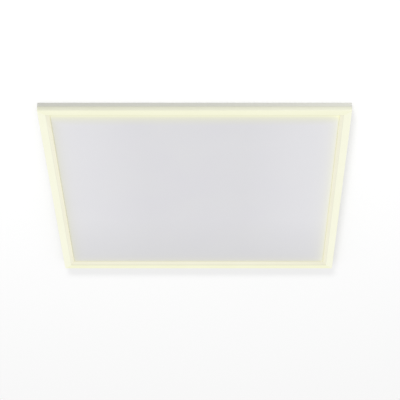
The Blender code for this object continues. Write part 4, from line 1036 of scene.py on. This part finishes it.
low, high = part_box("pairing_button")
top = high.z - low.z
button = turned_piece([
    (0, 0), (BUTTON_BRIM, 0), (BUTTON_BRIM, BRIM_HEIGHT), (BUTTON_RADIUS, BRIM_HEIGHT),
    *arc((BUTTON_RADIUS - BUTTON_ROUND, top - BUTTON_ROUND), BUTTON_ROUND, 0, 90, steps=5),
    (BUTTON_RADIUS / 2, top - DISH_HALFWAY * BUTTON_DISH), (0, top - BUTTON_DISH),
])
button.data.transform(Matrix.Translation(foot("pairing_button")))
dressed(smoothed(button), "push_button", "grey_plastic", "button")
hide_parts("pairing_button")
print(button.name, sizes_of(button))

# %% [markdown]
# The cable gland is a threaded and domed body, with a nut inside the box and a collar and a cap outside.
# Its thread is turned as plain ridges: at this size nobody sees that they do not climb.

# %% gland body
GLAND_BORE = 0.0050
GLAND_THREAD = 0.0072
GLAND_DOME = 0.0080
GLAND_LIP = 0.0062
THREAD_DEPTH = 0.0005
THREAD_PITCH = 0.00097
NUT = (-0.0055, -0.0015)
COLLAR = (0.0003, 0.0063)
CAP = (0.0073, 0.0133)
DOME_TOP = 0.0193
DOME_STEPS = 9
TAIL_END = -0.0075


def thread(start, end):
    """Ridges along the outside, given from a lower to a higher end."""
    ridges = []
    for ridge in range(round((end - start) / THREAD_PITCH)):
        base = start + ridge * THREAD_PITCH
        ridges += [(GLAND_THREAD - THREAD_DEPTH, base), (GLAND_THREAD, base + THREAD_PITCH / 2)]
    return ridges


dome = []
dome_foot = CAP[1] - THREAD_DEPTH
for step in range(DOME_STEPS + 1):
    angle = math.pi / 2 * step / DOME_STEPS
    radius = GLAND_LIP + (GLAND_DOME - GLAND_LIP) * math.cos(angle)
    dome.append((radius, dome_foot + (DOME_TOP - dome_foot) * math.sin(angle)))
gland = turned_piece([
    (GLAND_BORE, TAIL_END),
    *thread(TAIL_END, CAP[0] + THREAD_PITCH),
    (GLAND_DOME, CAP[0] + 2 * THREAD_PITCH),
    *dome,
    (GLAND_BORE, DOME_TOP),
])
print("gland body", sizes_of(gland))

# %% [markdown]
# The gland's three hexagons are six-sided cylinders with a hole and rounded edges, joined to the body by a
# boolean. The body stands turned by half a step, so that no corner of a hexagon meets one of its edges.

# %% gland hexagons
GLAND_HEX = 0.0095
HEX_HOLE = 0.0054
HEX_ROUND = 0.0005

gland.data.transform(Matrix.Rotation(math.pi / TURN_STEPS, 4, "Z"))
hex_inset = GLAND_HEX * math.cos(math.pi / 6) - HEX_HOLE
for low_end, high_end in (NUT, COLLAR, CAP):
    hexagon = begin(
        bpy.ops.mesh.primitive_cylinder_add, vertices=6, radius=GLAND_HEX, depth=high_end - low_end,
        location=(0, 0, (low_end + high_end) / 2),
    )
    bored(hex_inset, hex_inset, within=GLAND_THREAD)
    rounded_edges(hexagon, HEX_ROUND, segments=2, angle=30)
    smoothed(hexagon)
    apply_modifier(gland, "BOOLEAN", operation="UNION", object=hexagon)
    bpy.data.objects.remove(hexagon)
gland_middle = middle("cable_gland")
gland_place = pointing((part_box("junction_box")[0].x, gland_middle.y, gland_middle.z), (-1, 0, 0))
gland.data.transform(gland_place)
dressed(smoothed(gland, 40), "gland_body", "dark_plastic", "housing")
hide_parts("cable_gland")
print(gland.name, sizes_of(gland))

# %% [markdown]
# Inside the gland's cap sits a soft sealing ring, which would close round a cable. It is turned as well,
# with a rounded lip at its mouth.

# %% sealing ring
SEAL_BORE = 0.0036
SEAL_GRIP = 0.00005
SEAL_OUTER = GLAND_BORE - SEAL_GRIP
SEAL_FROM = 0.0090
SEAL_LIP = 0.0008

seal_top = DOME_TOP - 2 * SEAL_LIP
seal = turned_piece([
    (SEAL_BORE, SEAL_FROM), (SEAL_OUTER, SEAL_FROM), (SEAL_OUTER, seal_top),
    *arc((SEAL_BORE + SEAL_LIP, seal_top), SEAL_LIP, 60, 180, steps=6),
])
seal.data.transform(gland_place)
dressed(smoothed(seal), "gland_seal", "rubber", "housing")
print(seal.name, sizes_of(seal))

# %% [markdown]
# The insulation is a batt of mineral wool over the heating laminate: soft at its edges and uneven on its
# faces, with a pocket that leaves the cut-out free. It starts as a grid that is extruded to its thickness.
# A displacement that only ever goes inwards makes it lumpy and keeps it clear of the tray. A batt is stiff,
# so it needs no cloth simulation.

# %% insulation batt
BATT_CELLS = 56
BATT_SOFT = 0.005
SIDE_CUTS = 3
LUMP_DEPTH = 0.0012
LUMP_SIZE = 0.022
POCKET_RADIUS = 0.013
POCKET_DEPTH = 0.2

low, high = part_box("insulation_mat")
batt = begin(
    bpy.ops.mesh.primitive_grid_add, x_subdivisions=BATT_CELLS, y_subdivisions=BATT_CELLS,
    size=high.x - low.x, location=(0, 0, low.z),
)
pick_all()
bpy.ops.mesh.extrude_region_move(TRANSFORM_OT_translate={"value": (0, 0, high.z - low.z)})
face_outwards()
pick("FACE", lambda face: abs(face.normal.z) < 0.5)
bpy.ops.mesh.subdivide(number_cuts=SIDE_CUTS)
rounded_edges(batt, BATT_SOFT, segments=4, angle=60)
cutout = middle("thermal_cutout")
pocket = begin(
    bpy.ops.mesh.primitive_cylinder_add, vertices=48, radius=POCKET_RADIUS, depth=POCKET_DEPTH,
    location=(cutout.x, cutout.y, 0),
)
cut_away(batt, pocket)
lumps = bpy.data.textures.new("lumps", "CLOUDS")
lumps.noise_scale = LUMP_SIZE
apply_modifier(batt, "DISPLACE", texture=lumps, texture_coords="LOCAL", strength=LUMP_DEPTH, mid_level=1.0)
dressed(smoothed(batt, 50), "insulation_batt", "mineral_wool", "housing")
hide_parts("insulation_mat")
print(batt.name, sizes_of(batt))

# %% [markdown]
# The panel is shown on its ceiling, a plain pale plane just above the frame's bearing strip, with an
# opening as wide as the frame. Insetting the plane's one face and deleting the middle leaves the opening.

# %% ceiling
CEILING_HALF = 4.0
CEILING_LEVEL = 0.0001
OPENING_LAP = 0.0004

opening_half = PANEL_HALF - OPENING_LAP
ceiling = begin(bpy.ops.mesh.primitive_plane_add, size=2 * CEILING_HALF, location=(0, 0, CEILING_LEVEL))
ceiling.name = "ceiling"
bpy.ops.mesh.flip_normals()
bpy.ops.mesh.inset(thickness=CEILING_HALF - opening_half)
bpy.ops.mesh.delete(type="FACE")
leave_edit_mode()
print("ceiling with an opening of", round(2 * opening_half, 4), "m")

# %% [markdown]
# The ceiling faces down only. From above it is see-through, by the material's own Backfacing, so that the
# back of the panel can be looked at too. What the camera sees of it is lifted a little with emission, which
# gives no light to the panel.

# %% ceiling material
STAGE_COLOUR = (0.60, 0.60, 0.60, 1)
STAGE_BOUNCE = (0.45, 0.45, 0.45, 1)
STAGE_LIFT = 0.308


def seen_directly(tree):
    """One for a ray from the camera, from gloss or through glass, and zero for one that only lights."""
    rays = put(tree, "LightPath").outputs
    seen = sums(tree, "MAXIMUM", rays["Is Camera Ray"], rays["Is Glossy Ray"])
    return sums(tree, "MAXIMUM", seen, rays["Is Transmission Ray"])


tree, shader = new_finish("one_sided_stage", roughness=1.0)
shader.inputs["Specular IOR Level"].default_value = 0.0
bounced = put(tree, "LightPath").outputs["Is Diffuse Ray"]
feed(tree, shader, base_color=mixed(tree, bounced, STAGE_COLOUR, STAGE_BOUNCE))
lift = put(tree, "Emission", {"Strength": sums(tree, "MULTIPLY", seen_directly(tree), STAGE_LIFT)})
shown = put(tree, "AddShader", {0: shader.outputs[0], 1: lift.outputs[0]})
behind = put(tree, "NewGeometry").outputs["Backfacing"]
clear = put(tree, "BsdfTransparent")
one_side = put(tree, "MixShader", {0: behind, 1: shown.outputs[0], 2: clear.outputs[0]})
feed(tree, tree.nodes["Material Output"], surface=one_side.outputs[0])
ceiling.data.materials.append(finishes["one_sided_stage"])
print("ceiling material ready")

# %% [markdown]
# The light is plain and soft. An even white world does most of it, at a level where a colour renders about
# as it is written, and shows as white. A weak lamp low on the left of the camera gives the edges some form,
# and another lights the back from above. A small lamp close under the ceiling, on the right, makes the near
# wall lighter towards its right end. The last lamp shines along the ceiling from the near side and, by
# light linking, on the ceiling alone, so that the frame drops a soft shadow without its wall lighting up.

# %% world and lamps
WORLD_LEVEL = 0.90
PANEL_CENTRE = (0, 0, 0)
NEAR_WALL = (0, -PANEL_HALF, -0.01)

world = bpy.data.worlds.new("soft_room")
bpy.context.scene.world = world
world.use_nodes = True
tree = world.node_tree
backdrop = tree.nodes["Background"]
backdrop.inputs["Color"].default_value = (1, 1, 1, 1)
feed(tree, backdrop, strength=between(tree, seen_directly(tree), WORLD_LEVEL, 1.0))


def soft_lamp(name, place, target, size, power):
    lamp_data = bpy.data.lights.new(name, "AREA")
    lamp_data.shape = "ELLIPSE"
    lamp_data.size, lamp_data.size_y = size
    lamp_data.energy = power
    lamp = bpy.data.objects.new(name, lamp_data)
    lamp.location = place
    aim = Vector(target) - Vector(place)
    lamp.rotation_euler = aim.to_track_quat("-Z", "Y").to_euler()
    lamp.visible_camera = False
    bpy.context.scene.collection.objects.link(lamp)
    return lamp


soft_lamp("room_lamp", place=(-1.25, -1.5, -1.55), target=PANEL_CENTRE, size=(1.2, 1.2), power=4)
soft_lamp("void_lamp", place=(-1.2, -1.4, 1.9), target=PANEL_CENTRE, size=(3.0, 3.0), power=11)
soft_lamp("wall_lamp", place=(0.9, -0.9, -0.05), target=NEAR_WALL, size=(0.3, 0.06), power=3)
ceiling_lamp = soft_lamp(
    "ceiling_lamp", place=(-0.45, -4.6, -1.40), target=PANEL_CENTRE, size=(1.4, 0.55), power=182
)
ceiling_only = bpy.data.collections.new("ceiling_only")
ceiling_only.objects.link(ceiling)
ceiling_lamp.light_linking.receiver_collection = ceiling_only
print("world and four lamps")
